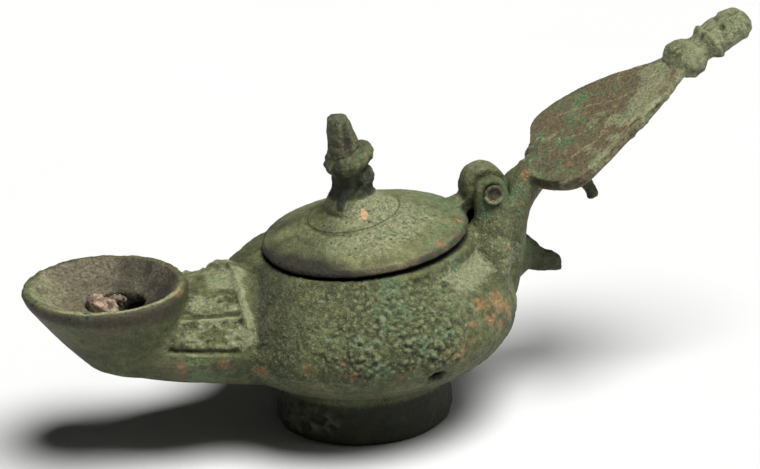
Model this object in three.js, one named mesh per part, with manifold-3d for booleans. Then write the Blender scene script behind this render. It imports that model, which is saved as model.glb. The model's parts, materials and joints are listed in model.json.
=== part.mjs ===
// A cast bronze oil lamp of Roman type. A squat bowl stands on a ring foot. A broad spout runs out to a
// flaring mouth with a wick hole. A domed lid turns on a pinned hinge, and behind it a stem carries a
// leaf-shaped thumb rest over the two broken ends of a finger ring.
import * as THREE from "three";
import { mergeVertices } from "three/addons/utils/BufferGeometryUtils.js";
import Module from "manifold-3d";

const wasm = await Module();
wasm.setup();
const { lerp, degToRad, smoothstep } = THREE.MathUtils;

// Driving dimensions in millimetres and degrees, with the foot's axis at X = 0 and the mouth towards -X
const WALL = 2.6;
const GAP = 0.3;
const BEYOND = 30;

// Foot: a ring with a bead along its lower edge, as radius and height pairs up its outer side
const FOOT_SIDE = [[19.2, 0], [20.2, 0.6], [20.6, 1.9], [20.3, 3.4], [19.9, 7], [20.4, 12.5]];
const FOOT_HOLLOW = [[16.6, 0], [16.4, 3], [14.8, 8]];

// Bowl: two quarter ovals that meet at the widest level, cut flat for the lid's seat
const BOWL_RADIUS = 36;
const BOWL_WIDEST_Z = 25.8;
const BOWL_RISE = 19.7;
const BOWL_DEPTH = 16.8;
const SEAT_Z = 40.5;
const FILL_HOLE_RADIUS = 20.5;
const CAVITY_RISE = 16.9;
const CAVITY_TOP_Z = 38.6;
const FILL_HOLE_DEPTH = 10;

// Wall flaw: a small hole low on the bowl's near side
const FLAW = { x: 6.8, y: -33.4, z: 20.3, halfWidth: 2.5, halfHeight: 1.7, halfDepth: 5, slopeDeg: 35 };

// Spout between bowl and mouth, as stations with X, half width, top and how far its panels stand proud
const NECK_STATIONS = [
  [-14, 17.4, 39.4, 0], [-25.8, 17.6, 39.6, 0], [-26.4, 17.6, 39.6, 1.6], [-30.2, 17.6, 39.6, 1.6],
  [-31.6, 17.6, 39.3, 0.8], [-39, 17.2, 38.8, 0.7], [-46, 16.2, 38.6, 0.7], [-52, 13.6, 38.4, 0.3],
  [-57, 10, 37, 0],
];
const NECK_LEAN = 3;
const NECK_SIDE_Z = 26;
const NECK_KEEL_Z = 10.2;
const NECK_KEEL_RISE = 0.235;
// Grooves that part the panels: station and angle up the flank at the rib, and the same at the mouth
const GROOVES = [
  { rib: [-31.6, 7.5], mouth: [-47.6, 16.8] },
  { rib: [-31.6, 41], mouth: [-44.6, 46.4] },
  { rib: [-31.6, 61.5], mouth: [-41.6, 72] },
];
const GROOVE_STEPS = 4;
const GROOVE_RADIUS = 0.9;

// Mouth: rounds stacked from the keel to the rim, as height, centre and radius
const MOUTH_ROUNDS = [
  [20, -51.5, 5], [21.2, -52.2, 8.4], [23, -53.2, 11], [27.5, -54.9, 13.4], [33, -56.9, 15.9],
  [38.6, -59, 18.1], [40.6, -59.4, 18.6], [41.6, -59.5, 18.3],
];
const MOUTH_X = -59.5;
const MOUTH_Z = 41.6;
const DISH_RADIUS = 16.4;
const DISH_DEPTH = 4.8;
const WICK_X = -57.2;
const WICK_RADIUS = 6.8;
const WICK_ROOF = 2.3;

// Hinge: two ears on the body, a knuckle on the lid and a pin with upset ends
const PIN_X = 30.7;
const PIN_Z = 50.9;
const PIN_RADIUS = 1.7;
const PIN_HEAD_RADIUS = 2.4;
const PIN_HEAD = 0.6;
const EAR_RADIUS = 4.1;
const EAR_OUTER = 6.5;
const EAR_ROOT = [[35.5, 47], [34.5, 40], [31.5, 31], [27, 31], [26.8, 42]];
const KNUCKLE_RADIUS = 5.2;
const KNUCKLE_HALF = 3.2;
const KNUCKLE_ARM = [[21.6, 48], [25.4, 48.6], [26, 51.5], [30, 54.5], [33, 49], [29.5, 46.6], [23, 46]];
const SLOT_FLOOR_Z = 42.6;

// Web that climbs from the bowl's shoulder to the ears, as height, centre, half depth and half width
const WEB_ROUNDS = [[32, 27, 7, 18], [40, 29.4, 6.2, 14.5], [44, 31, 5.2, 10.4], [48.5, 32.6, 3.8, 6.6]];

// Handle stem: its middle line in X and Z, its half thickness and half width along it
const STEM_LINE = [[31, 27], [34.2, 34], [35.8, 41], [38.4, 47.4], [44, 52.4], [52, 57.8]];
const STEM_THICK = [[0, 7], [0.25, 5.3], [0.5, 4.2], [0.68, 4], [0.84, 3.2], [1, 1.2]];
const STEM_WIDE = [[0, 9.5], [0.3, 8], [0.5, 7.2], [0.65, 6.2], [0.8, 4.8], [1, 3.4]];

// Leaf and finial: places along the rising handle line, with half widths, and half depths for the finial
const LEAF_X = 42.7;
const LEAF_Z = 53.4;
const LEAF_RISE_DEG = 28.2;
const LEAF_FAR_EDGE = [
  [0, 3.5], [3.4, 8.5], [5.6, 13.8], [8, 17], [12, 18.3], [19, 17.5], [25, 15.4], [31, 12], [37, 7],
  [42, 4.4],
];
const LEAF_NEAR_EDGE = [
  [-2.4, 4.5], [-1.6, 9.5], [0.6, 14.6], [3.4, 18.4], [6.4, 19.6], [13, 18], [20, 15.4], [28, 12.6], [36, 8],
  [42, 4.8],
];
const LEAF_THICKNESS = 2.4;
const LEAF_BEVEL = 0.5;
const LEAF_BASE = { extra: 1.4, fromX: 0, toX: 16 };
const FINIAL_START = 39.5;
const FINIAL_LENGTH = 21.2;
const FINIAL_ROUNDS = [
  [0, 4.6, 1.8], [0.12, 6.5, 3.6], [0.26, 6.3, 3.4], [0.35, 4.9, 2.3], [0.43, 4.9, 2.3], [0.475, 6.2, 3.1],
  [0.52, 6.2, 3.1], [0.56, 5.8, 2.8], [0.84, 5.9, 3], [0.95, 4.7, 2.5], [1, 2.9, 1.6],
];
const FINIAL_CUT = { across: 0.67, fromShare: 0.5, radius: 0.8, height: 3.1 };

// Finger ring: one circle in the middle plane, of which two stubs are left. The lower one is a tapering
// tongue, as X, Z, half height and half width
const RING_X = 44.6;
const RING_Z = 41.3;
const RING_RADIUS = 13.2;
const RING_BAR = 1.65;
const UPPER_STUB = { fromDeg: 72, toDeg: 9, flare: 2.1 };
const LOWER_STUB = [
  [35, 32, 6.4, 4.4], [38, 32.1, 6.1, 3.6], [41, 32.8, 4.6, 2.7], [43, 31.4, 3.8, 2.2], [45, 30.2, 2.9, 2],
  [47, 29.6, 2.6, 1.8], [48.4, 29, 2.1, 1.7], [49.2, 28.4, 1.5, 1.5],
];

// Raised rim round the filling hole, which climbs towards the hinge under the lid
const RIM_ROUNDS = [[25.4, 37], [24.3, 45]];
const RIM_RISE_DEG = 3.2;
const RIM_LIFT = 0.2;

// Lid: a low dome with a turned groove, in a frame of its own that is tilted up at the hinge
const LID_X = 2;
const LID_RADIUS = 23.8;
const LID_EDGE = 1.4;
const LID_EDGE_ROUND = 0.4;
const LID_RISE = 11;
const LID_CURVE = 1;
const LID_SHELL = 2.2;
const LID_RIM = 2.6;
const LID_TILT_DEG = 4.8;
const LID_LIFT = 0.5;
const LID_GROOVE_X = -2;
const LID_GROOVE_RADIUS = 10.5;
const LID_GROOVE_DEPTH = 0.8;

// Knob: a worn bud on a stem, with a slanting collar and one lobe of a calyx
const KNOB_X = -1.8;
const KNOB_LEAN = [[0, 0], [0.55, 0.2], [1, 1.2]];
const KNOB_BOTTOM = 8.5;
const KNOB_TOP = 30.1;
const KNOB_RADII = [
  [0, 7.6], [0.14, 5], [0.24, 4.1], [0.46, 4.1], [0.58, 4], [0.72, 3.5], [0.93, 2.7], [1, 2.1],
];
const COLLAR = { radius: 3.9, bar: 1.9, tiltDeg: 16, x: -1.5, z: 19.8 };
const LOBE = { size: [2.6, 4, 3.6], tiltDeg: 24, at: [0.6, -1.2, 14.4] };

// Burnt wick that is caked to the wick hole's wall: a large lump and a small one
const RESIDUE_LUMPS = [
  { size: [4.4, 5.4, 3.1], at: [-61.2, -0.6, 36.2] },
  { size: [2.5, 2.2, 1.8], at: [-56.4, 2.2, 36.2] },
];

// How finely the round forms are faceted
const ROUND = 36;
const OVAL = 24;
const INNER = 28;
const SMALL = 10;

// Turns a three.js geometry into a closed solid with its faces outward
function solid(geometry) {
  const bare = new THREE.BufferGeometry();
  bare.setAttribute("position", geometry.attributes.position);
  bare.setIndex(geometry.index);
  const merged = mergeVertices(bare, 1e-4);
  const spots = merged.attributes.position;
  const corners = [0, 1, 2].map(() => new THREE.Vector3());
  const triangles = [];
  let volume = 0;
  for (let i = 0; i < merged.index.count; i += 3) {
    const triangle = [...merged.index.array.slice(i, i + 3)];
    if (new Set(triangle).size === 3) {
      triangles.push(triangle);
      triangle.forEach((spot, k) => corners[k].fromBufferAttribute(spots, spot));
      volume += corners[0].dot(corners[1].cross(corners[2]));
    }
  }
  const outward = volume > 0 ? triangles : triangles.map(([a, b, c]) => [a, c, b]);
  return new wasm.Manifold(new wasm.Mesh({
    numProp: 3,
    vertProperties: new Float32Array(spots.array),
    triVerts: new Uint32Array(outward.flat()),
  }));
}

// Makes a named mesh from a finished solid
function piece(name, body, material) {
  const mesh = body.getMesh();
  const geometry = new THREE.BufferGeometry();
  geometry.setAttribute("position", new THREE.BufferAttribute(new Float32Array(mesh.vertProperties), 3));
  geometry.setIndex(new THREE.BufferAttribute(new Uint32Array(mesh.triVerts), 1));
  geometry.computeVertexNormals();
  const made = new THREE.Mesh(geometry, material);
  made.name = name;
  return made;
}

// Reads a value from rows of place and values, straight between them
function along(rows, place, column = 1) {
  let i = 0;
  while (i < rows.length - 2 && place > rows[i + 1][0]) {
    i += 1;
  }
  const share = (place - rows[i][0]) / (rows[i + 1][0] - rows[i][0]);
  return lerp(rows[i][column], rows[i + 1][column], share);
}

// A form turned about the vertical axis from a profile of radius and height pairs
function turned(profile, sides = ROUND) {
  const points = profile.map(([radius, z]) => new THREE.Vector2(radius, z));
  return new THREE.LatheGeometry(points, sides).rotateX(Math.PI / 2);
}

// A round hoop about the vertical axis
function hoop(radius, bar, sides, around) {
  const section = [];
  for (let i = 0; i <= sides; i += 1) {
    const angle = 2 * Math.PI * (i / sides);
    section.push([radius + bar * Math.cos(angle), bar * Math.sin(angle)]);
  }
  return turned(section, around);
}

// A form swept from a unit cylinder: place gets the share of the way along and a point of the unit disc
function swept(sides, steps, place) {
  const geometry = new THREE.CylinderGeometry(1, 1, 1, sides, steps);
  const spots = geometry.attributes.position;
  for (let i = 0; i < spots.count; i += 1) {
    const [x, y, z] = place(spots.getY(i) + 0.5, spots.getX(i), spots.getZ(i));
    spots.setXYZ(i, x, y, z);
  }
  return geometry;
}

// An upright round shaft
function shaft(radius, fromZ, toZ, x, sides) {
  const geometry = new THREE.CylinderGeometry(radius, radius, toZ - fromZ, sides).rotateX(Math.PI / 2);
  return solid(geometry.translate(x, 0, (fromZ + toZ) / 2));
}

// A round bar on the pin's line, along Y, centred on the middle plane
function pinBar(radius, halfLength, sides) {
  return solid(new THREE.CylinderGeometry(radius, radius, 2 * halfLength, sides).translate(PIN_X, 0, PIN_Z));
}

// A plate cut to an outline in the X-Z plane, centred on the middle plane
function crossPlate(outline, halfWidth) {
  const shape = new THREE.Shape(outline.map(([x, z]) => new THREE.Vector2(x, z)));
  const geometry = new THREE.ExtrudeGeometry(shape, { depth: 2 * halfWidth, bevelEnabled: false });
  return solid(geometry.translate(0, 0, -halfWidth).rotateX(Math.PI / 2));
}

// Bowl profile: two quarter ovals, cut flat at a top height
function bowlProfile(radius, rise, depth, top, steps) {
  const profile = [[0, BOWL_WIDEST_Z - depth]];
  const topAngle = Math.asin((top - BOWL_WIDEST_Z) / rise);
  for (let i = 1; i <= steps; i += 1) {
    const angle = (Math.PI / 2) * (i / steps - 1);
    profile.push([radius * Math.cos(angle), BOWL_WIDEST_Z + depth * Math.sin(angle)]);
  }
  for (let i = 1; i <= steps - 2; i += 1) {
    const angle = topAngle * (i / (steps - 2));
    profile.push([radius * Math.cos(angle), BOWL_WIDEST_Z + rise * Math.sin(angle)]);
  }
  return [...profile, [0, top]];
}

function bowl() {
  return solid(turned(bowlProfile(BOWL_RADIUS, BOWL_RISE, BOWL_DEPTH, SEAT_Z, 7)));
}

function cavity() {
  const hollow = bowlProfile(BOWL_RADIUS - WALL, CAVITY_RISE, BOWL_DEPTH - WALL, CAVITY_TOP_Z, 6);
  const fillHole = shaft(FILL_HOLE_RADIUS, SEAT_Z - FILL_HOLE_DEPTH, SEAT_Z + BEYOND, 0, INNER);
  return solid(turned(hollow, INNER)).add(fillHole);
}

function foot() {
  return solid(turned([[0, 0], ...FOOT_SIDE, [0, FOOT_SIDE.at(-1)[1]]]));
}

function footHollow() {
  const [mouthRadius] = FOOT_HOLLOW[0];
  return solid(turned([[0, -1], [mouthRadius, -1], ...FOOT_HOLLOW, [0, FOOT_HOLLOW.at(-1)[1]]], INNER));
}

function flaw() {
  const hole = new THREE.SphereGeometry(1, SMALL, 8).scale(FLAW.halfWidth, FLAW.halfDepth, FLAW.halfHeight);
  return solid(hole.rotateX(degToRad(FLAW.slopeDeg)).translate(FLAW.x, FLAW.y, FLAW.z));
}

// A point of the spout's skin or inside it: an arched top over a shallower keel that rises to the mouth, with
// the flanks a little further out than the top
function neckPoint(x, across, up, allow = 0) {
  const rows = NECK_STATIONS.map((row) => [-row[0], ...row.slice(1)]);
  const proud = (up > -0.01 ? along(rows, -x, 3) : 0) + allow;
  const top = along(rows, -x, 2) + proud;
  const keel = NECK_KEEL_Z + NECK_KEEL_RISE * (NECK_STATIONS[0][0] - x) - allow;
  const z = up > 0 ? lerp(NECK_SIDE_Z, top, up) : lerp(NECK_SIDE_Z, keel, -up);
  return [x - NECK_LEAN * (1 - Math.abs(up)), across * (along(rows, -x) + proud), z];
}

function neck() {
  const steps = NECK_STATIONS.length - 1;
  return solid(swept(OVAL, steps, (share, across, up) => {
    const [x] = NECK_STATIONS[Math.round(share * steps)];
    return neckPoint(x, across, up);
  }));
}

// Hollow of the spout, from the bowl to under the wick hole
function channel() {
  const roof = MOUTH_Z - DISH_DEPTH - WICK_ROOF;
  const endX = WICK_X - WICK_RADIUS + 1;
  return solid(swept(20, 5, (share, across, up) => {
    const [x, y, z] = neckPoint(lerp(NECK_STATIONS[0][0] - 5, endX, share), across, up, -2 * WALL);
    return [x, y, Math.min(z + WALL / 2, roof)];
  }));
}

// Long grooves that part the neck's panels, on both sides
function neckGrooves() {
  const cuts = [];
  const section = new THREE.Shape().absarc(0, 0, GROOVE_RADIUS, 0, 2 * Math.PI);
  for (const side of [-1, 1]) {
    for (const { rib, mouth: end } of GROOVES) {
      const spots = [];
      for (let i = 0; i <= GROOVE_STEPS; i += 1) {
        const angle = degToRad(lerp(rib[1], end[1], i / GROOVE_STEPS));
        const x = lerp(rib[0], end[0], i / GROOVE_STEPS);
        spots.push(new THREE.Vector3(...neckPoint(x, side * Math.cos(angle), Math.sin(angle))));
      }
      const path = new THREE.CatmullRomCurve3(spots);
      const options = { steps: GROOVE_STEPS, extrudePath: path, curveSegments: 3 };
      cuts.push(solid(new THREE.ExtrudeGeometry(section, options)));
    }
  }
  return cuts.reduce((all, cut) => all.add(cut));
}

// Mouth: stacked rounds that widen and lean forward from the keel to the rim
function mouth() {
  const steps = MOUTH_ROUNDS.length - 1;
  return solid(swept(ROUND, steps, (share, across, forth) => {
    const [z, x, radius] = MOUTH_ROUNDS[Math.round(share * steps)];
    return [x + forth * radius, across * radius, z];
  }));
}

// Dish inside the rim, with the wick hole through its floor
function dish() {
  const floor = MOUTH_Z - DISH_DEPTH;
  const profile = [[0, floor]];
  const steps = 4;
  for (let i = 0; i <= steps; i += 1) {
    const share = i / steps;
    profile.push([lerp(WICK_RADIUS, DISH_RADIUS, share), lerp(floor, MOUTH_Z, share ** 1.8)]);
  }
  profile.push([DISH_RADIUS, MOUTH_Z + BEYOND], [0, MOUTH_Z + BEYOND]);
  const wickHole = shaft(WICK_RADIUS, floor - 2 * WICK_ROOF, floor + WICK_ROOF, WICK_X, OVAL);
  return solid(turned(profile).translate(MOUTH_X, 0, 0)).add(wickHole);
}

// Handle stem: from the bowl's back up behind the hinge and over into the leaf
function stem() {
  const line = new THREE.CatmullRomCurve3(STEM_LINE.map(([x, z]) => new THREE.Vector3(x, 0, z)));
  return solid(swept(16, 9, (share, across, out) => {
    const spot = line.getPoint(share);
    const way = line.getTangent(share);
    const depth = out * along(STEM_THICK, share);
    return [spot.x + way.z * depth, across * along(STEM_WIDE, share), spot.z - way.x * depth];
  }));
}

// Hinge ears, still joined across the slot
function ears() {
  const outline = [];
  const steps = 8;
  for (let i = 0; i <= steps; i += 1) {
    const angle = Math.PI * (1 - i / steps);
    outline.push([PIN_X + EAR_RADIUS * Math.cos(angle), PIN_Z + EAR_RADIUS * Math.sin(angle)]);
  }
  return crossPlate([...outline, ...EAR_ROOT], EAR_OUTER);
}

// Web under the ears, cleared for the lid's edge
function hingeWeb() {
  const steps = WEB_ROUNDS.length - 1;
  const web = solid(swept(OVAL, steps, (share, across, forth) => {
    const [z, x, halfDepth, halfWidth] = WEB_ROUNDS[Math.round(share * steps)];
    return [x + forth * halfDepth, across * halfWidth, z];
  }));
  return web.subtract(shaft(LID_RADIUS + 2 * GAP, SEAT_Z, SEAT_Z + BEYOND, LID_X, ROUND));
}

// Slot between the ears, with room for the knuckle to turn and for its arm to swing up
function hingeSlot() {
  const half = KNUCKLE_HALF + 2 * GAP;
  const [fromX, toZ] = [PIN_X - BEYOND, PIN_Z + BEYOND];
  const corners = [[fromX, SLOT_FLOOR_Z], [PIN_X, SLOT_FLOOR_Z], [PIN_X, toZ], [fromX, toZ]];
  return pinBar(KNUCKLE_RADIUS + 2 * GAP, half, OVAL).add(crossPlate(corners, half));
}

// Puts a form made along X with its face up onto the handle's rising line
function onHandle(geometry) {
  return solid(geometry.rotateY(-degToRad(LEAF_RISE_DEG)).translate(LEAF_X, 0, LEAF_Z));
}

// Leaf: a flat plate, thicker below towards its base
function leaf() {
  const edges = [[LEAF_FAR_EDGE, 1], [LEAF_NEAR_EDGE, -1]].map(([line, side]) => {
    const spots = line.map(([x, half]) => new THREE.Vector2(x, side * half));
    return new THREE.SplineCurve(spots).getPoints(2 * line.length);
  });
  const plate = new THREE.ExtrudeGeometry(new THREE.Shape([...edges[0], ...edges[1].toReversed()]), {
    depth: LEAF_THICKNESS - 2 * LEAF_BEVEL,
    bevelThickness: LEAF_BEVEL,
    bevelSize: LEAF_BEVEL,
    bevelOffset: -LEAF_BEVEL,
    bevelSegments: 1,
  });
  plate.translate(0, 0, LEAF_BEVEL - LEAF_THICKNESS / 2);
  const spots = plate.attributes.position;
  for (let i = 0; i < spots.count; i += 1) {
    const base = 1 - smoothstep(spots.getX(i), LEAF_BASE.fromX, LEAF_BASE.toX);
    spots.setZ(i, spots.getZ(i) - (spots.getZ(i) < 0 ? LEAF_BASE.extra * base : 0));
  }
  return onHandle(plate);
}

// Finial at the leaf's tip: a bead, a waist and a blunt block with softly squared sections
function finial() {
  const steps = FINIAL_ROUNDS.length - 1;
  return onHandle(swept(16, steps, (share, across, up) => {
    const [place, halfWidth, halfDepth] = FINIAL_ROUNDS[Math.round(share * steps)];
    const round = Math.hypot(across, up);
    const squared = round > 0 ? (round / Math.max(Math.abs(across), Math.abs(up))) ** 0.4 : 1;
    return [FINIAL_START + place * FINIAL_LENGTH, across * squared * halfWidth, up * squared * halfDepth];
  }));
}

// Two grooves that quarter the top of the finial's block
function finialCuts() {
  const { across, fromShare, radius, height } = FINIAL_CUT;
  const bar = () => new THREE.CylinderGeometry(radius, radius, FINIAL_LENGTH, 8);
  const crosswise = bar().translate(FINIAL_START + across * FINIAL_LENGTH, 0, height);
  const middle = FINIAL_START + (fromShare + 0.5) * FINIAL_LENGTH;
  const lengthwise = bar().rotateZ(Math.PI / 2).translate(middle, 0, height);
  return onHandle(crosswise).add(onHandle(lengthwise));
}

// Upper stub of the finger ring, flared where it joins the leaf
function upperStub() {
  const { fromDeg, toDeg, flare } = UPPER_STUB;
  return solid(swept(SMALL, 5, (share, across, out) => {
    const angle = degToRad(lerp(fromDeg, toDeg, share));
    const bar = RING_BAR * lerp(flare, 1, smoothstep(share, 0, 0.8));
    const radius = RING_RADIUS + out * bar;
    return [RING_X + radius * Math.cos(angle), across * bar, RING_Z + radius * Math.sin(angle)];
  }));
}

function lowerStub() {
  const steps = LOWER_STUB.length - 1;
  return solid(swept(SMALL, steps, (share, across, up) => {
    const [x, z, halfHeight, halfWidth] = LOWER_STUB[Math.round(share * steps)];
    return [x, across * halfWidth, z + up * halfHeight];
  }));
}

// Rim round the filling hole: its outer face, cut off along a slope that follows the lid's
function fillingRim() {
  const [first, last] = [RIM_ROUNDS[0], RIM_ROUNDS.at(-1)];
  const ring = turned([[0, first[1]], ...RIM_ROUNDS, [0, last[1]]]).translate(LID_X, 0, 0);
  const over = new THREE.BoxGeometry(4 * LID_RADIUS, 4 * LID_RADIUS, BEYOND).translate(0, 0, BEYOND / 2);
  const slope = over.rotateY(-degToRad(RIM_RISE_DEG)).translate(LID_X - LID_RADIUS, 0, SEAT_Z + RIM_LIFT);
  return solid(ring).subtract(solid(slope));
}

function lampBody(material) {
  const outside = bowl()
    .add(fillingRim())
    .add(foot())
    .add(neck())
    .subtract(neckGrooves())
    .add(mouth())
    .add(ears())
    .add(hingeWeb())
    .add(stem())
    .subtract(hingeSlot())
    .add(leaf())
    .add(finial())
    .subtract(finialCuts())
    .add(lowerStub())
    .add(upperStub());
  const hollows = cavity()
    .add(channel())
    .add(dish())
    .add(footHollow())
    .add(flaw())
    .add(pinBar(PIN_RADIUS + GAP, EAR_OUTER + 1, SMALL));
  return piece("lamp_body", outside.subtract(hollows), material);
}

// Height of the lid's upper face above its lower edge
function lidHeight(radius) {
  return LID_EDGE + (LID_RISE - LID_EDGE) * (1 - (radius / LID_RADIUS) ** LID_CURVE);
}

function lidShell() {
  const inner = LID_RADIUS - LID_RIM;
  const profile = [];
  const steps = 5;
  for (let i = 0; i < steps; i += 1) {
    const radius = inner * (i / steps);
    profile.push([radius, lidHeight(radius) - LID_SHELL]);
  }
  profile.push([inner, 0], [LID_RADIUS, 0], [LID_RADIUS, LID_EDGE - LID_EDGE_ROUND]);
  for (let i = steps; i >= 0; i -= 1) {
    const radius = (LID_RADIUS - LID_EDGE_ROUND) * (i / steps);
    profile.push([radius, lidHeight(radius)]);
  }
  return solid(turned(profile));
}

// Groove round the lid's crown, set a little towards the mouth, at one depth below the dome's face
function lidGroove() {
  const geometry = hoop(LID_GROOVE_RADIUS, LID_GROOVE_DEPTH, 5, INNER).translate(LID_GROOVE_X, 0, 0);
  const spots = geometry.attributes.position;
  for (let i = 0; i < spots.count; i += 1) {
    spots.setZ(i, spots.getZ(i) + lidHeight(Math.hypot(spots.getX(i), spots.getY(i))));
  }
  return solid(geometry);
}

function knob() {
  const stalk = solid(swept(SMALL, 11, (share, across, forth) => {
    const radius = along(KNOB_RADII, share);
    const x = KNOB_X - along(KNOB_LEAN, share);
    return [x + forth * radius, across * radius, lerp(KNOB_BOTTOM, KNOB_TOP, share)];
  }));
  const collar = hoop(COLLAR.radius, COLLAR.bar, 7, 16).rotateY(-degToRad(COLLAR.tiltDeg));
  const lobe = new THREE.SphereGeometry(1, SMALL, 7).scale(...LOBE.size).rotateY(degToRad(LOBE.tiltDeg));
  return stalk.add(solid(collar.translate(COLLAR.x, 0, COLLAR.z))).add(solid(lobe.translate(...LOBE.at)));
}

function lid(material) {
  const tilt = degToRad(LID_TILT_DEG);
  const middleZ = SEAT_Z + LID_LIFT + LID_RADIUS * Math.sin(tilt);
  const place = new THREE.Matrix4().makeRotationY(-tilt).setPosition(LID_X, 0, middleZ);
  const dome = lidShell().subtract(lidGroove()).add(knob()).transform(place.elements);
  const knuckle = crossPlate(KNUCKLE_ARM, KNUCKLE_HALF).add(pinBar(KNUCKLE_RADIUS, KNUCKLE_HALF, OVAL));
  const bore = pinBar(PIN_RADIUS + GAP, KNUCKLE_HALF + 1, SMALL);
  return piece("lid", dome.add(knuckle).subtract(bore), material);
}

function hingePin(material) {
  const face = EAR_OUTER + GAP;
  const between = pinBar(2 * PIN_HEAD_RADIUS, face, SMALL);
  const heads = pinBar(PIN_HEAD_RADIUS, face + PIN_HEAD, SMALL).subtract(between);
  return piece("hinge_pin", pinBar(PIN_RADIUS, face + PIN_HEAD / 2, SMALL).add(heads), material);
}

function wickResidue(material) {
  const lumps = RESIDUE_LUMPS.map(({ size, at }) => (
    solid(new THREE.SphereGeometry(1, SMALL, 6).scale(...size).translate(...at))
  ));
  const room = shaft(WICK_RADIUS - GAP, MOUTH_Z - 2 * DISH_DEPTH, MOUTH_Z, WICK_X, OVAL);
  return piece("wick_residue", lumps[0].add(lumps[1]).intersect(room), material);
}

const bronze = { color: 0x5c5f45, roughness: 0.62, metalness: 0.75 };

const lamp = new THREE.Group();
lamp.add(lampBody(new THREE.MeshStandardMaterial(bronze)));
lamp.add(lid(new THREE.MeshStandardMaterial({ ...bronze, color: 0x777856 })));
lamp.add(hingePin(new THREE.MeshStandardMaterial({ ...bronze, color: 0x6f6a4c })));
lamp.add(wickResidue(new THREE.MeshStandardMaterial({ color: 0xb09a86, roughness: 0.95, metalness: 0 })));

// The origin lies on the ground under the middle of the lamp's length
const reach = new THREE.Box3().setFromObject(lamp);
lamp.position.x = -(reach.min.x + reach.max.x) / 2;

export default lamp;
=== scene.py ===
import json
import math
from types import SimpleNamespace

import bpy
import numpy as np
from mathutils import Matrix, Vector


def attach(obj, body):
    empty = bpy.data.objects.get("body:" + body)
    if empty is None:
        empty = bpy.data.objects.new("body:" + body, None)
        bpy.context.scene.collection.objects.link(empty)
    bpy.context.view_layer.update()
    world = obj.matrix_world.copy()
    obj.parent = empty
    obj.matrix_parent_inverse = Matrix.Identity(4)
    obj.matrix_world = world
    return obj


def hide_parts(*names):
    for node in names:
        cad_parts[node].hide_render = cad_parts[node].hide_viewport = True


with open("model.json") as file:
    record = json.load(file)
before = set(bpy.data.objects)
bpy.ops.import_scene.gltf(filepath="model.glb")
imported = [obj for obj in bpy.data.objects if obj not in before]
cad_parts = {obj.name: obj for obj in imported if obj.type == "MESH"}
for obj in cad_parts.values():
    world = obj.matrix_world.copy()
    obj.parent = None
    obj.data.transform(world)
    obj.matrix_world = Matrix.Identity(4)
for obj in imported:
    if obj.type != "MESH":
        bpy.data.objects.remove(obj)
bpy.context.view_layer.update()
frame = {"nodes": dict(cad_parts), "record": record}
scene = bpy.context.scene

# Shapes are worked in millimetres, with X measured from the foot's axis and the near side at -Y
MM = 1000.0
FOOT_X = MM * frame["record"]["mounts"][0]["pos_m"][0]

# Sizes of the casting that the surface detail follows
BOWL_RADIUS, BOWL_WIDEST_Z, BOWL_RISE, BOWL_DEPTH = 36.0, 25.8, 19.7, 16.8
SEAT_Z, SEAT_GAP = 40.5, 0.5
NECK_SIDE_Z, NECK_LEAN = 26.0, 3.0
NECK_X = np.array([-57.0, -52.0, -46.0, -39.0, -31.6, -30.2, -26.4, -14.0])
NECK_HALF = np.array([10.0, 13.9, 16.9, 17.9, 18.4, 19.2, 19.2, 17.4])
NECK_TOP = np.array([37.0, 38.7, 39.3, 39.5, 40.1, 41.2, 41.2, 39.4])
NECK_KEEL_Z, NECK_KEEL_RISE, NECK_KEEL_X = 10.2, 0.235, -14.0
# Grooves between the spout's panels: station and angle at the rib, and the same at the mouth
GROOVES = ((-31.6, 7.5, -47.6, 16.8), (-31.6, 41.0, -44.6, 46.4), (-31.6, 61.5, -41.6, 72.0))
# The rib's edge on the bowl's side: angle up the flank and station
RIB_EDGE = np.array((
    (-1, 8, 19, 31, 40, 50, 70, 80),
    (-26.9, -27.2, -27.9, -28.6, -29.2, -29.7, -30.2, -28.6),
))
MOUTH_LEVELS = np.array([20.0, 21.2, 23.0, 27.5, 33.0, 38.6, 40.6, 41.6])
MOUTH_CENTRES = np.array([-51.5, -52.2, -53.2, -54.9, -56.9, -59.0, -59.4, -59.5])
MOUTH_RADII = np.array([5.0, 8.4, 11.0, 13.4, 15.9, 18.1, 18.6, 18.3])
MOUTH_X, RIM_RADIUS, CREST_RADIUS = -59.5, 17.4, 17.2
WICK_HOLE_X = -57.2
LEAF_X, LEAF_Z, LEAF_RISE = 42.7, 53.4, math.radians(28.2)
FINIAL_START, FINIAL_LENGTH = 39.5, 21.2
PIN_X, PIN_Z = 30.7, 50.9
LID_X, LID_RADIUS, LID_TILT = 2.0, 23.8, math.radians(4.8)
LID_Z = SEAT_Z + SEAT_GAP + LID_RADIUS * math.sin(LID_TILT)
LID_GROOVE_X, LID_GROOVE_RADIUS = -2.0, 10.5
KNOB_X = -1.8

# Voxel size in mm and number of triangles of each dressed piece
BODY_VOXEL, BODY_TRIANGLES = 0.4, 196000
LID_VOXEL, LID_TRIANGLES = 0.32, 160000
PIN_VOXEL, PIN_TRIANGLES = 0.14, 24000
RESIDUE_VOXEL, RESIDUE_TRIANGLES = 0.16, 24000
# Share of the way to its neighbours that a point goes in one pass of full smoothing
EVEN = 0.5


def lattice(cells, seed):
    """A fixed number from 0 to 1 for each whole cell."""
    c = cells.astype(np.int64).astype(np.uint64)
    h = c[..., 0] * np.uint64(374761393) + c[..., 1] * np.uint64(668265263)
    h = h + c[..., 2] * np.uint64(2246822519) + np.uint64(seed * 1274126177)
    h = (h ^ (h >> np.uint64(13))) * np.uint64(1274126177)
    h = (h ^ (h >> np.uint64(16))) * np.uint64(2654435761)
    return ((h ^ (h >> np.uint64(15))) & np.uint64(0xFFFFFF)).astype(float) / 0xFFFFFF


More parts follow.
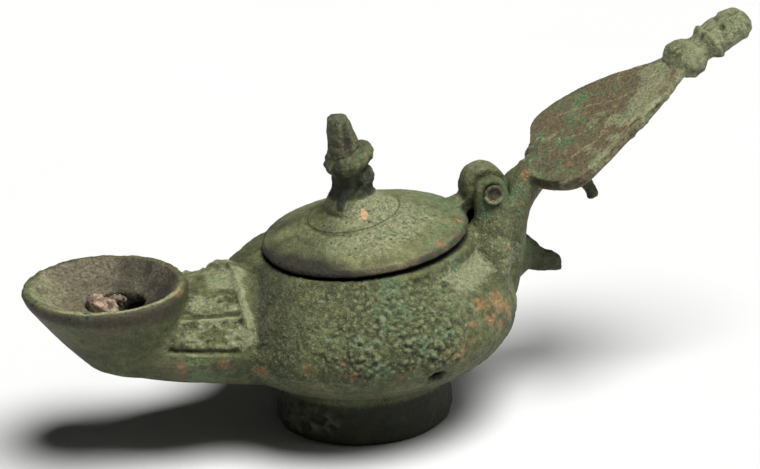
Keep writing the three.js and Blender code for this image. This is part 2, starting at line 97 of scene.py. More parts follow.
def noise(points, size, seed):
    """Smooth noise from -1 to 1 with lumps of about the given size."""
    q = points / size + 0.37 * seed
    cell = np.floor(q)
    f = q - cell
    f = f * f * f * (f * (f * 6 - 15) + 10)
    total = np.zeros(len(points))
    for corner in np.ndindex(2, 2, 2):
        share = np.where(np.array(corner) == 1, f, 1 - f).prod(1)
        total += share * lattice(cell + np.array(corner), seed)
    return 2 * total - 1


TURN = np.array(Matrix.Rotation(0.9, 3, Vector((0.3, 0.8, 0.52))))


def fractal(points, size, octaves, seed):
    """Noise summed over octaves, each half the size and half the strength of the last."""
    total, strength, q = np.zeros(len(points)), 1.0, points
    for i in range(octaves):
        total += strength * noise(q, size, seed + i)
        q, size, strength = q @ TURN.T, size / 2, strength / 2
    return total / (2 - 2 * strength)


def grains(points, size, seed):
    """Cell noise: distance to the nearest seed point in cell sizes, and a number of that cell's own."""
    q = points / size
    cell = np.floor(q)
    nearest, own = np.full(len(q), 9.0), np.zeros(len(q))
    for step in np.ndindex(3, 3, 3):
        c = cell + np.array(step) - 1
        spot = c + np.stack([lattice(c, seed + k) for k in range(3)], 1)
        d = np.linalg.norm(q - spot, axis=1)
        closer = d < nearest
        nearest = np.where(closer, d, nearest)
        own = np.where(closer, lattice(c, seed + 7), own)
    return nearest, own


def ramp(x, low, high):
    """Smooth step from 0 at low to 1 at high, which may run either way."""
    t = np.clip((x - low) / (high - low), 0, 1)
    return t * t * (3 - 2 * t)


def band(x, low, high, soft):
    """1 between low and high, 0 outside, with soft edges."""
    return ramp(x, low - soft, low + soft) * ramp(x, high + soft, high - soft)


# A spot is full out to this share of its reach
SPOT_CORE = 0.35


def blob(x, y, centre, radii):
    """Soft spot in two coordinates."""
    d = np.hypot((x - centre[0]) / radii[0], (y - centre[1]) / radii[1])
    return ramp(d, 1.0, SPOT_CORE)


def blobs(x, y, places):
    """Soft round spots in two coordinates, each a centre and a reach."""
    return np.max([blob(x, y, (a, b), (reach, reach)) for a, b, reach in places], axis=0)


def spots(points, places):
    """Soft round spots in space, each a centre and a reach."""
    near = [(np.linalg.norm(points - place[:3], axis=1), place[3]) for place in places]
    return np.max([ramp(d, reach, SPOT_CORE * reach) for d, reach in near], axis=0)


def line_distance(u, v, line):
    """Least distance in a plane from points to a run of straight stretches."""
    best = np.full(len(u), 99.0)
    for (a0, b0), (a1, b1) in zip(line, line[1:]):
        da, db = a1 - a0, b1 - b0
        t = np.clip(((u - a0) * da + (v - b0) * db) / (da * da + db * db), 0, 1)
        best = np.minimum(best, np.hypot(u - a0 - t * da, v - b0 - t * db))
    return best


def evaluated(obj):
    """The mesh that an object's modifiers make; the object itself is removed."""
    depsgraph = bpy.context.evaluated_depsgraph_get()
    mesh = bpy.data.meshes.new_from_object(obj.evaluated_get(depsgraph))
    bpy.data.objects.remove(obj)
    return mesh


def read(collection, key, width):
    """Values of a mesh's points or edges as rows."""
    values = np.zeros(len(collection) * width, np.float32 if key != "vertices" else np.int32)
    collection.foreach_get(key, values)
    return values.reshape(-1, width)


class Surface:
    """A dense closed mesh made from a CAD node, worked on point by point."""

    def __init__(self, node, voxel):
        mesh = frame["nodes"][node].data.copy()
        co = read(mesh.vertices, "co", 3).astype(float) * MM
        co[:, 0] -= FOOT_X
        mesh.vertices.foreach_set("co", co.astype(np.float32).ravel())
        work = bpy.data.objects.new("work", mesh)
        scene.collection.objects.link(work)
        remesh = work.modifiers.new("remesh", "REMESH")
        remesh.mode = "VOXEL"
        remesh.voxel_size = voxel
        self.mesh = evaluated(work)
        self.co = read(self.mesh.vertices, "co", 3).astype(float)
        self.a, self.b = read(self.mesh.edges, "vertices", 2).T
        count = len(self.co)
        self.degree = np.bincount(self.a, minlength=count) + np.bincount(self.b, minlength=count)

    def mean(self, values):
        """Mean of each point's neighbours."""
        count = len(values)
        total = np.bincount(self.a, values[self.b], count) + np.bincount(self.b, values[self.a], count)
        return total / self.degree

    def smooth(self, times, share):
        """Moves each point towards its neighbours; share is one number or one for each point."""
        share = np.broadcast_to(share, len(self.co))[:, None]
        for _ in range(times):
            middle = np.stack([self.mean(self.co[:, k]) for k in range(3)], 1)
            self.co += share * (middle - self.co)

    def standing(self, values, times):
        """How far values stand out from those around them."""
        around = values
        for _ in range(times):
            around = self.mean(around)
        return values - around

    def normals(self):
        self.mesh.vertices.foreach_set("co", self.co.astype(np.float32).ravel())
        self.mesh.update()
        return read(self.mesh.vertices, "normal", 3).astype(float)

    def push(self, heights):
        self.co += self.normals() * heights[:, None]

    def piece(self, name, triangles, material, body, node, marks):
        """Thins the mesh to a triangle count and puts it in the scene in place of its CAD node."""
        self.normals()
        for key, values in marks.items():
            attribute = self.mesh.attributes.new(key, "FLOAT", "POINT")
            attribute.data.foreach_set("value", np.clip(values, -2, 2).astype(np.float32))
        made = sum(len(p.vertices) - 2 for p in self.mesh.polygons)
        work = bpy.data.objects.new("work", self.mesh)
        scene.collection.objects.link(work)
        if made > triangles:
            thin = work.modifiers.new("thin", "DECIMATE")
            thin.ratio = triangles / made
        mesh = evaluated(work)
        mesh.name = name
        mesh.transform(Matrix.Translation((FOOT_X / MM, 0, 0)) @ Matrix.Scale(1 / MM, 4))
        mesh.polygons.foreach_set("use_smooth", [True] * len(mesh.polygons))
        mesh.materials.clear()
        mesh.materials.append(material)
        obj = bpy.data.objects.new(name, mesh)
        scene.collection.objects.link(obj)
        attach(obj, body)
        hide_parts(node)


def rgb(*display):
    """Display colour from 0 to 255 as a linear colour."""
    return tuple(((c / 255 + 0.055) / 1.055) ** 2.4 for c in display) + (1.0,)


class Shader:
    """A node material, put together by short calls."""

    def __init__(self, name):
        self.material = bpy.data.materials.new(name)
        self.material.use_nodes = True
        self.tree = self.material.node_tree
        self.out = self.tree.nodes["Principled BSDF"]
        self.place = self.add("ShaderNodeTexCoord").outputs["Object"]

    def add(self, kind, values=None, **settings):
        node = self.tree.nodes.new(kind)
        for key, value in settings.items():
            setattr(node, key, value)
        for key, value in (values or {}).items():
            self.feed(node.inputs[key], value)
        return node

    def feed(self, socket, value):
        if isinstance(value, bpy.types.NodeSocket):
            self.tree.links.new(value, socket)
        else:
            socket.default_value = value

    def mark(self, name):
        return self.add("ShaderNodeAttribute", attribute_name=name).outputs["Fac"]

    def noise(self, scale, detail=4.0, rough=0.55, offset=0.0):
        away = (offset, offset * 0.7, -offset)
        spot = self.add("ShaderNodeVectorMath", {0: self.place, 1: away}).outputs[0]
        values = {"Vector": spot, "Scale": scale, "Detail": detail, "Roughness": rough}
        return self.add("ShaderNodeTexNoise", values).outputs["Fac"]

    def cloud(self, scale, reach):
        """A small shift that differs from place to place."""
        around = self.add("ShaderNodeTexNoise", {"Vector": self.place, "Scale": scale}).outputs["Color"]
        centred = self.add("ShaderNodeVectorMath", {0: around, 1: (-0.5, -0.5, -0.5)}).outputs[0]
        shift = self.add("ShaderNodeVectorMath", {0: centred}, operation="SCALE")
        shift.inputs["Scale"].default_value = reach
        return shift.outputs[0]

    def math(self, operation, *values):
        node = self.add("ShaderNodeMath", operation=operation)
        for i, value in enumerate(values):
            self.feed(node.inputs[i], value)
        return node.outputs[0]

    def spread(self, value, low, high, to_low=0.0, to_high=1.0):
        values = {0: value, 1: low, 2: high, 3: to_low, 4: to_high}
        return self.add("ShaderNodeMapRange", values, interpolation_type="SMOOTHSTEP").outputs[0]

    def broken(self, mask, grain, reach=0.9, edge=0.12):
        """A soft mask given a ragged edge by a noise."""
        ragged = self.math("MULTIPLY_ADD", self.math("SUBTRACT", grain, 0.5), reach, mask)
        return self.spread(ragged, 0.5 - edge, 0.5 + edge)

    def mix(self, share, under, over):
        node = self.add("ShaderNodeMix", data_type="RGBA")
        for key, value in ((0, share), (6, under), (7, over)):
            self.feed(node.inputs[key], value)
        return node.outputs[2]

    def ramp(self, value, *stops):
        node = self.add("ShaderNodeValToRGB", {0: value})
        elements = node.color_ramp.elements
        while len(elements) < len(stops):
            elements.new(0.5)
        for element, (position, colour) in zip(elements, stops):
            element.position = position
            element.color = colour
        return node.outputs[0]


# Noises of the patina: scale per metre, detail, roughness and offset
WIDE_NOISE, MOTTLE_NOISE = (150, 5, 0.62), (520, 7, 0.72, 0.3)
FINE_NOISE, SPECK_NOISE = (1300, 5, 0.7, 0.7), (2300, 3, 0.6, 1.1)
GROUND_STOPS = {"deep": 0.36, "mid": 0.5, "light": 0.63}
# Layers over the ground: mark, noise, raggedness, cover, and display colours in and out of the fine noise
LAYERS = (
    ("brown", (380, 6, 0.68, 2.1), 1.3, 0.85, (62, 53, 38), (116, 101, 77)),
    ("tan", (700, 6, 0.7, 5.1), 1.0, 0.9, (58, 53, 43), (118, 108, 89)),
    ("pale", (560, 7, 0.72, 3.3), 1.7, 0.8, (92, 97, 69), (150, 153, 119)),
    ("verd", (480, 7, 0.7, 4.2), 1.7, 0.75, (44, 70, 43), (100, 125, 90)),
    ("copper", (480, 6, 0.66, 6.4), 1.7, 0.75, (106, 76, 46), (166, 126, 82)),
)
LAYER_EDGE, LAYER_FINE = 0.22, (0.34, 0.66)
CELL_SCALE, CELL_SHAKE_SCALE, CELL_SHAKE, CELL_EDGE = 950.0, 900, 0.0009, (0.42, 0.8)
# Relief colours: raised places painted paler as highlight, hollows and the crevices between grains painted
# darker as shade
RAISED, HOLLOW, CREVICE = rgb(138, 147, 108), rgb(26, 31, 18), rgb(32, 40, 23)
PALE_FLECK, DARK_FLECK = rgb(166, 166, 124), rgb(32, 37, 22)
# The near-black colour stands for painted shade as well as dark patches; the pale scratched colour is for
# scratches and a painted glint
PINK_SPOT, SCRATCHED_AND_GLINT, SHADE_AND_DARK = rgb(178, 144, 110), rgb(160, 156, 118), rgb(17, 17, 12)
# Each is where a share starts, where it is full, and the share from and to
RAISED_SHARE, HOLLOW_SHARE = (0.1, 1.1, 0.0, 0.4), (-0.05, -1.0, 0.0, 0.76)
PALE_SPECK, DARK_SPECK, SCRATCH_AND_GLINT_FINE = (0.54, 0.68), (0.46, 0.34), (0.35, 0.6)
CREVICE_COVER, SHADE_AND_DARK_COVER = 0.36, 0.88
ROUGH_LEAST, ROUGH_FINE, ROUGH_SHADE_AND_DARK, BRONZE_SPECULAR = 0.46, 0.3, 0.12, 0.4
BUMP_SPECK, BUMP_CELL, BUMP_DEPTH = 0.5, -1.1, 0.0005


def patina(name, tones):
    """Corroded bronze: olive grounds under pale crust, verdigris, bare copper, brown and dark patches, with
    painted highlight and painted shade laid into the pale, dark and relief colours.
    """
    s = Shader(name)
    wide, mottle, fine, speck = (s.noise(*n) for n in (WIDE_NOISE, MOTTLE_NOISE, FINE_NOISE, SPECK_NOISE))
    ground = s.math("MULTIPLY_ADD", mottle, 0.6, s.math("MULTIPLY", wide, 0.4))
    colour = s.ramp(ground, *((stop, tones[key]) for key, stop in GROUND_STOPS.items()))
    for key, grain, ragged, cover, low, high in LAYERS:
        tint = s.ramp(fine, (LAYER_FINE[0], rgb(*low)), (LAYER_FINE[1], rgb(*high)))
        share = s.broken(s.mark(key), s.noise(*grain), ragged, LAYER_EDGE)
        colour = s.mix(s.math("MULTIPLY", share, cover), colour, tint)
    relief = s.mark("relief")
    grain = s.mark("grain")
    shake = s.cloud(CELL_SHAKE_SCALE, CELL_SHAKE)
    shaken = s.add("ShaderNodeVectorMath", {0: s.place, 1: shake}).outputs[0]
    # The crevices between the cell grains get painted shade
    cell = s.add("ShaderNodeTexVoronoi", {"Vector": shaken, "Scale": CELL_SCALE}).outputs["Distance"]
    crevice = s.math("MULTIPLY", s.spread(cell, *CELL_EDGE), grain)
    flecks = s.math("MULTIPLY_ADD", grain, 0.4, 0.16)
    # Painted highlight on raised places and painted shade in hollows, from the relief mark
    colour = s.mix(s.spread(relief, *RAISED_SHARE), colour, RAISED)
    colour = s.mix(s.spread(relief, *HOLLOW_SHARE), colour, HOLLOW)
    colour = s.mix(s.math("MULTIPLY", crevice, CREVICE_COVER), colour, CREVICE)
    colour = s.mix(s.math("MULTIPLY", s.spread(speck, *PALE_SPECK), flecks), colour, PALE_FLECK)
    colour = s.mix(s.math("MULTIPLY", s.spread(speck, *DARK_SPECK), flecks), colour, DARK_FLECK)
    colour = s.mix(s.broken(s.mark("pink"), fine, 0.9, 0.15), colour, PINK_SPOT)
    # The scratched colour is pale: engraved lines, and a painted glint along the mouth's front crest
    colour = s.mix(s.math("MULTIPLY", s.mark("scratch_and_glint"), s.spread(fine, *SCRATCH_AND_GLINT_FINE)), colour, SCRATCHED_AND_GLINT)
    # The dark mark blends towards near-black: painted shade in hollows, under and between parts and on sides
    # turned from the light, as well as dark patches
    dark = s.broken(s.mark("dark"), mottle, 0.5, 0.4)
    colour = s.mix(s.math("MULTIPLY", dark, SHADE_AND_DARK_COVER), colour, SHADE_AND_DARK)
    s.feed(s.out.inputs["Base Color"], colour)
    rough = s.math("MULTIPLY_ADD", fine, ROUGH_FINE, ROUGH_LEAST)
    s.feed(s.out.inputs["Roughness"], s.math("MULTIPLY_ADD", dark, ROUGH_SHADE_AND_DARK, rough))
    s.out.inputs["Specular IOR Level"].default_value = BRONZE_SPECULAR
    height = s.math("MULTIPLY_ADD", speck, BUMP_SPECK, fine)
    height = s.math("MULTIPLY_ADD", s.math("MULTIPLY", cell, grain), BUMP_CELL, height)
    bump = s.add("ShaderNodeBump", {"Height": height, "Strength": 1.0, "Distance": BUMP_DEPTH})
    s.feed(s.out.inputs["Normal"], bump.outputs[0])
    return s.material


OLIVE = {"deep": rgb(40, 43, 23), "mid": rgb(70, 75, 42), "light": rgb(102, 107, 66)}
LID_OLIVE = {"deep": rgb(60, 62, 37), "mid": rgb(94, 98, 62), "light": rgb(130, 133, 92)}
PIN_BROWN = {"deep": rgb(44, 40, 28), "mid": rgb(76, 69, 48), "light": rgb(112, 104, 77)}


def region(measures, bounds):
    """Product of soft bounds on named measures, each 0 at its first number and 1 at its second."""
    return np.prod([ramp(getattr(measures, key), low, high) for key, low, high in bounds], axis=0)


def regions(measures, table):
    """A mask for each region of a table."""
    return SimpleNamespace(**{key: region(measures, bounds) for key, bounds in table.items()})


def noises(points, table):
    """A noise for each row of a table of sizes in mm, octaves and seeds."""
    return SimpleNamespace(**{key: fractal(points, *values) for key, values in table.items()})


def neck_place(p):
    """Station along the spout, angle up its flank and share of the way out to its skin."""
    up_z = p[:, 2] - NECK_SIDE_Z
    x = p[:, 0].copy()
    for _ in range(2):
        half = np.interp(x, NECK_X, NECK_HALF)
        rise = np.interp(x, NECK_X, NECK_TOP) - NECK_SIDE_Z
        drop = NECK_SIDE_Z - (NECK_KEEL_Z + NECK_KEEL_RISE * (NECK_KEEL_X - x))
        up = up_z / np.where(up_z > 0, rise, drop)
        x = p[:, 0] + NECK_LEAN * (1 - np.clip(np.abs(up), 0, 1))
    across = np.abs(p[:, 1]) / half
    return x, np.degrees(np.arctan2(up, across)), np.hypot(up, across)


def leaf_place(p):
    """Along, across (near side positive) and above the leaf."""
    dx, dz = p[:, 0] - LEAF_X, p[:, 2] - LEAF_Z
    c, s = math.cos(LEAF_RISE), math.sin(LEAF_RISE)
    return dx * c + dz * s, -p[:, 1], dz * c - dx * s


def body_measures(p):
    """Places on the body that its regions are bounded by, in mm, degrees or shares of a radius."""
    x, y, z = p.T
    radius = np.hypot(x, y)
    over = z - BOWL_WIDEST_Z
    neck_x, neck_deg, neck = neck_place(p)
    low_deg, mid_deg, top_deg = (np.interp(-neck_x, (-g[0], -g[2]), (g[1], g[3])) for g in GROOVES)
    la, lw, ln = leaf_place(p)
    mouth_r = np.interp(z, MOUTH_LEVELS, MOUTH_RADII)
    dish_r = np.hypot(x - MOUTH_X, y)
    dish_turn = np.arctan2(-y, x - MOUTH_X)
    return SimpleNamespace(
        x=x, z=z, side=np.abs(y), radius=radius, round_deg=np.degrees(np.arctan2(-y, x)),
        bowl=np.hypot(radius / BOWL_RADIUS, over / np.where(over > 0, BOWL_RISE, BOWL_DEPTH)),
        neck_x=neck_x, neck_deg=neck_deg, neck=neck, low_deg=low_deg, mid_deg=mid_deg, top_deg=top_deg,
        over_top=neck_deg - top_deg, from_rib=neck_x - np.interp(neck_deg, *RIB_EDGE),
        la=la, lw=lw, ln=ln, leaf_off=np.abs(ln), finial=(la - FINIAL_START) / FINIAL_LENGTH,
        mouth=np.hypot(x - np.interp(z, MOUTH_LEVELS, MOUTH_CENTRES), y) / mouth_r,
        dish_r=dish_r, dish_turn=dish_turn, dish_deg=np.degrees(dish_turn),
        rim_off=np.abs(dish_r - RIM_RADIUS), crest_off=np.abs(dish_r - CREST_RADIUS),
        lid_off=np.hypot(x - LID_X, y), pin_off=np.hypot(x - PIN_X, z - PIN_Z),
    )


# Where the remeshed body keeps its edges, and where it is rounded off more
HANDLE = (("x", 38.5, 41.5),)
LEAF_BASE = (("la", -7, -1), ("la", 15, 9))
CRISP_HANDLE = (("x", 37.5, 41),)
CRISP_NECK = (("x", -54, -52), ("x", -23.5, -25.5), ("neck", 0.9, 0.95), ("z", 22, 25))
CRISP_RIM = (("z", 38.2, 39.6), ("x", -38, -41))
LEAF_UNDERSIDE = HANDLE + LEAF_BASE + (("ln", 0.9, -0.4), ("ln", -5, -3.5))
EAR_SIDES = (("side", 4.8, 5.6), ("x", 23.5, 26.5), ("x", 37.5, 34.5), ("z", 43, 46))
CRISPNESS, BASE_SOFTNESS = 0.41, 0.75
BODY_PASSES, LEAF_PASSES, EAR_PASSES = 15, 40, 14

# Soft bounds of the body's regions
ON_BOWL = (("bowl", 0.955, 0.975), ("bowl", 1.05, 1.03), ("z", 9, 11))
FLANK = (("neck_deg", 2, 7),)
COLLAR = FLANK + (("neck", 0.95, 0.98), ("bowl", 0.998, 1.006), ("neck_x", -31.8, -31.2))
BEHIND_RIB = FLANK + (("neck", 0.88, 0.91), ("bowl", 0.996, 1.0), ("x", -12, -16))
SKIN = (("neck", 0.9, 0.96), ("mouth", 0.98, 1.02), ("bowl", 1.0, 1.02))
AT_MOUTH = (("x", -38, -40),)
LEAF = (("la", -3, -1), ("la", 40.5, 39), ("leaf_off", 2.6, 1.9)) + HANDLE
FINIAL = (("la", 38.5, 40),) + HANDLE
BODY_REGIONS = {
    "handle": HANDLE,
    "leaf": LEAF,
    "leaf_top": LEAF + (("ln", 0.3, 0.8),),
    "finial": FINIAL,
    "lobes": FINIAL + (("finial", 0.53, 0.57), ("finial", 0.96, 0.92), ("ln", 0.3, 1.4)),
    "foot": (("z", 10.6, 9.4), ("radius", 23, 21.5)),
    "on_bowl": ON_BOWL,
    "skin": SKIN,
    "crest": SKIN + (("over_top", 1, 4), ("neck_x", -47, -45), ("neck_x", -30, -32)),
    "rib": COLLAR + (("from_rib", -1.9, -1.5), ("from_rib", 0.3, -0.1)),
    "before_rib": COLLAR + (("from_rib", -1.4, -1.9),),
    "past_rib": BEHIND_RIB + (("from_rib", 0, 0.5),),
    "laid_down": BEHIND_RIB + (("from_rib", 0.8, 1.6),),
    "beside": ON_BOWL + (
        ("neck_x", -31, -27), ("neck_x", -17, -21), ("neck_deg", 2, 12), ("bowl", 1.004, 0.998),
    ),
    "inside": (("bowl", 0.955, 0.94), ("z", 10, 10.8), ("z", 41.5, 40.6)),
    "channel": (
        ("neck", 0.93, 0.88), ("x", -61, -59), ("x", -24, -26), ("z", 35.4, 34.6), ("mouth", 0.85, 0.8),
    ),
    "foot_hollow": (("radius", 17.6, 17.0), ("z", 9.0, 8.4)),
    "dish": (("dish_r", 17.2, 16.2), ("z", 33, 34.5), ("mouth", 0.97, 0.92)),
    "rim": AT_MOUTH + (("z", 40.0, 41.0), ("rim_off", 2.0, 1.0)),
    "lip_out": AT_MOUTH + (("dish_r", 17.3, 17.9), ("z", 36, 39.5)),
    "crest_line": AT_MOUTH + (
        ("crest_off", 0.7, 0.3), ("z", 40.9, 41.3), ("dish_deg", 5, 35), ("dish_deg", 165, 135),
    ),
    "ring_stub": (("x", 39.5, 42), ("z", 38.5, 36)),
    "leaf_stub": HANDLE + (("ln", -2.2, -3.2), ("la", 5, 8)),
    "web": (("bowl", 1.03, 1.06), ("x", 22, 25), ("x", 38, 34), ("z", 49, 44)),
    "lower": (("z", 21, 16), ("z", 9.5, 11)),
    "shoulder": ON_BOWL + (("round_deg", 6, 26), ("round_deg", 72, 52), ("z", 34, 38), ("x", 37, 35)),
    "far_left": ON_BOWL + (("round_deg", 120, 160),),
    "gap": (("lid_off", 24.1, 22.9), ("z", 40.2, 40.5), ("z", 44.5, 44)),
    "spout": (("mouth", 0.97, 1.0), ("x", -44, -47)),
    "stem": (("x", 34, 37), ("la", 2, -2), ("z", 40, 44)),
    "slot": (("side", 4.6, 3.6), ("x", 21, 23), ("x", 33, 30), ("z", 42, 43), ("z", 50.5, 48.5)),
    "near_pin": (("pin_off", 3.3, 2.8), ("side", 7.1, 6.9)),
}
# The spout's panels: left edge and its slope, right edge, and the angles by which boards clear the grooves
PANEL_LEFT_X, PANEL_LEFT_SLOPE, PANEL_TOP_DEG, PANEL_SOFT = -49.6, 0.113, 75, 0.4
PANEL_RIGHT_X = (-30.9, -31.7)
BOARD_OVER, BOARD_UNDER, BOARD_UNDER_TOP, BOARD_SOFT = 3, 4, 2, 1.4
GROOVE_DEG = (2.2, 0.8)
GROOVE_LIP = (5.2, 2.4, 0.7)
# Crust: grain size in mm and seed, with the angles round the bowl and levels that it covers
COARSE_GRAINS, FINE_GRAINS, PIT_GRAINS, WART_GRAINS = (1.25, 51), (0.95, 61), (2.6, 71), (1.45, 91)
COARSE_DEG, COARSE_Z = (58, 116, 15), (23, 42, 3)
LEATHERY_DEG, LEATHERY_Z = (95, 172, 10), (20, 40, 2)
RIGHT_DEG, RIGHT_Z = (14, 58, 10), (22, 35, 3)
# Noises of the body: size in mm, octaves and seed
BODY_NOISES = {
    "wide": (14.0, 3, 11), "medium": (5.0, 3, 21), "small": (1.7, 3, 31), "worm": (2.4, 3, 65),
    "nibbled": (3.2, 3, 95), "knobbly": (2.6, 2, 101), "chipped": (3.0, 3, 105), "leaf_pale": (4.5, 4, 211),
    "leaf_green": (5.5, 4, 221), "leaf_red": (3.5, 4, 231), "leaf_dark": (6.5, 4, 241),
}
DRIFT, DRIFT_SIZE, DRIFT_SEED = 0.55, 2.2, 41
JAGGED = (2.8, 4, 83)
STREAK, STREAK_ROUND, STREAK_DOWN = (1.6, 3, 251), 6, 0.12
# Engraved lines on the leaf, along and across
LEAF_LINES = (
    ((38.7, -3.4), (35.1, -0.1), (31, 0.7), (27.1, 0), (23.3, -2.5), (20, -6.2), (16.3, -9), (13, -11.1)),
    ((19, 1.6), (16.4, 3.3), (13.7, 3), (11.1, 0.9), (8.5, -1.1)),
    ((20.2, 5.7), (17.4, 7.9), (14.7, 10.1), (11.4, 9.6), (7.9, 9.6)),
    ((38.9, 7.1), (36.4, 4.2), (32.5, 3.5), (29.6, 3.7)),
    ((36.3, 8.2), (31.7, 10.7), (27.7, 11.6), (22.3, 12.7), (17.7, 15), (13.3, 16.8)),
)
LINE_HALF = (0.55, 0.1)
# Patches on the leaf, along and across, with their reach
LEAF_GREEN = ((19.3, -10.9, 4.2), (13.5, -3, 5), (15.3, -14.5, 5), (2.2, 2.2, 5), (7, -9, 4), (9.5, 2, 3.5))
LEAF_PALE = ((37, 0, 7), (29, 8, 7), (20.5, 6.3, 3), (11.5, 18.2, 4), (33, 4, 6), (23, 10.5, 4))
LEAF_COPPER = (
    (16.9, -4.2, 2.6), (10.3, 7.2, 1.6), (31.8, -8.8, 3), (17.9, 8.8, 3), (24, 2, 2), (6.5, 12, 2),
)
LEAF_LUMPS = ((9.5, -14.5, 3), (15.5, -15, 2.6), (21, -13.5, 2.2), (24, 13.5, 3.4))
# Warts on the leaf's base and near edge, and broken stock on the foot: centre and reach
WART_SPOT, WART_EDGE = ((3.5, -2.5), (8.5, 8.5)), ((24.5, 13), (5.5, 4.5))
FOOT_SPOT = ((148, 5.5), (40, 5.5))
# Bare copper and verdigris on the body, in space, with their reach
BODY_COPPER = (
    (5.6, -35.5, 26.3, 4.4), (9.5, -34.4, 25.6, 3.6), (21.8, -27, 30.5, 3.8), (25, -23, 32.1, 4.4),
    (19.1, -27, 33.4, 3), (27.5, -21, 28, 3.6), (24, -25.5, 27, 3), (-14.4, -32.6, 27.7, 2.4),
    (-13, -33.1, 24.5, 2.6), (-9, -34, 34, 1.6), (-29.8, -18.4, 22.4, 3.6), (-19, -27.9, 20.4, 2.6),
    (10.6, -20.2, 40.5, 2.2), (17.7, -15.6, 40.5, 2), (-7.5, -22.5, 40.4, 1.8), (32.4, -12.3, 40.5, 2),
    (-46.7, -12, 41.6, 2), (-43.8, 3, 41.3, 2.8), (-44.4, -10.3, 41.5, 2), (-45, 7, 41.3, 2),
    (-47.7, -16.7, 25.3, 3), (-37.6, -17.8, 25.2, 3), (-66, -8.5, 26, 2.4), (-52, 16.5, 41.4, 2),
    (-73, 12, 41.4, 2), (40.5, -3, 52.5, 2.6), (13.5, -33.1, 25.1, 3.4), (16.7, -31.5, 27.5, 2.4),
    (-21.9, -28.3, 25.1, 2.4), (9.7, -23.5, 40.8, 1.6), (16.3, -30.5, 30.9, 2.2), (20.3, -26.1, 33.3, 2.8),
    (14, -29.5, 35, 1.6), (-2, -35.5, 22.5, 2.2),
)
BODY_GREEN = (
    (-0.5, -24.8, 40, 2.4), (4.7, -35, 29.4, 4), (8, -33, 31, 3), (-20.3, -24.2, 35, 1.4),
    (28.7, -6.5, 46.1, 3), (36.5, -4.5, 49.5, 2.6), (-74.5, 8, 41.2, 3), (-70, 14, 41.2, 3),
    (-6, -35.4, 24.5, 3), (26, -22, 36, 3),
)
HINGE_SPOT = ((PIN_X + 2, PIN_Z - 2), (9, 9))
# Creases between the finial's lobes, along it in mm and across it as shares of its length, and its collar
CREASE_ASIDE, ALONG_HALF = 0.4, (1.3, 0.3)
CREASE_AT, CREASE_LEAN, ACROSS_HALF = 0.7, 0.01, (0.06, 0.012)
COLLAR_AT, COLLAR_HALF = 0.52, (0.03, 0.01)
# The rim's chips: bounds on their noise, and the angles round the mouth that have most of them
CHIPPED, CHIP_DEG = (0.12, 0.45), (95, 175, 20)
# Share of the relief that the inside gets
HIDDEN_RELIEF = 0.25
# Most that the casting lies down past the rib, as a share of the way to the bowl's centre, and the smoothing
SINK_FLANK, SINK_TOP, SINK_TOP_DEG = 0.03, 0.05, (45, 65)
LAY_PASSES, LAY_SHARE = 8, 0.4
# Points lower than this stay on the ground
GROUND_Z = 0.3
# Passes over which a point's surroundings are averaged, and the height in mm that counts as fully raised
BODY_STAND_PASSES, BODY_STAND = 14, 0.24


def soften_body(s):
    """Rounds off the remeshed body, least on the handle, the spout's panels and the rim."""
    m = body_measures(s.co)
    handle = region(m, CRISP_HANDLE) * (1 - BASE_SOFTNESS * region(m, LEAF_BASE))
    crisp = np.max([handle, region(m, CRISP_NECK), region(m, CRISP_RIM)], axis=0)
    s.smooth(BODY_PASSES, EVEN - CRISPNESS * crisp)
    s.smooth(LEAF_PASSES, EVEN * region(body_measures(s.co), LEAF_UNDERSIDE))
    s.smooth(EAR_PASSES, EVEN * region(body_measures(s.co), EAR_SIDES))


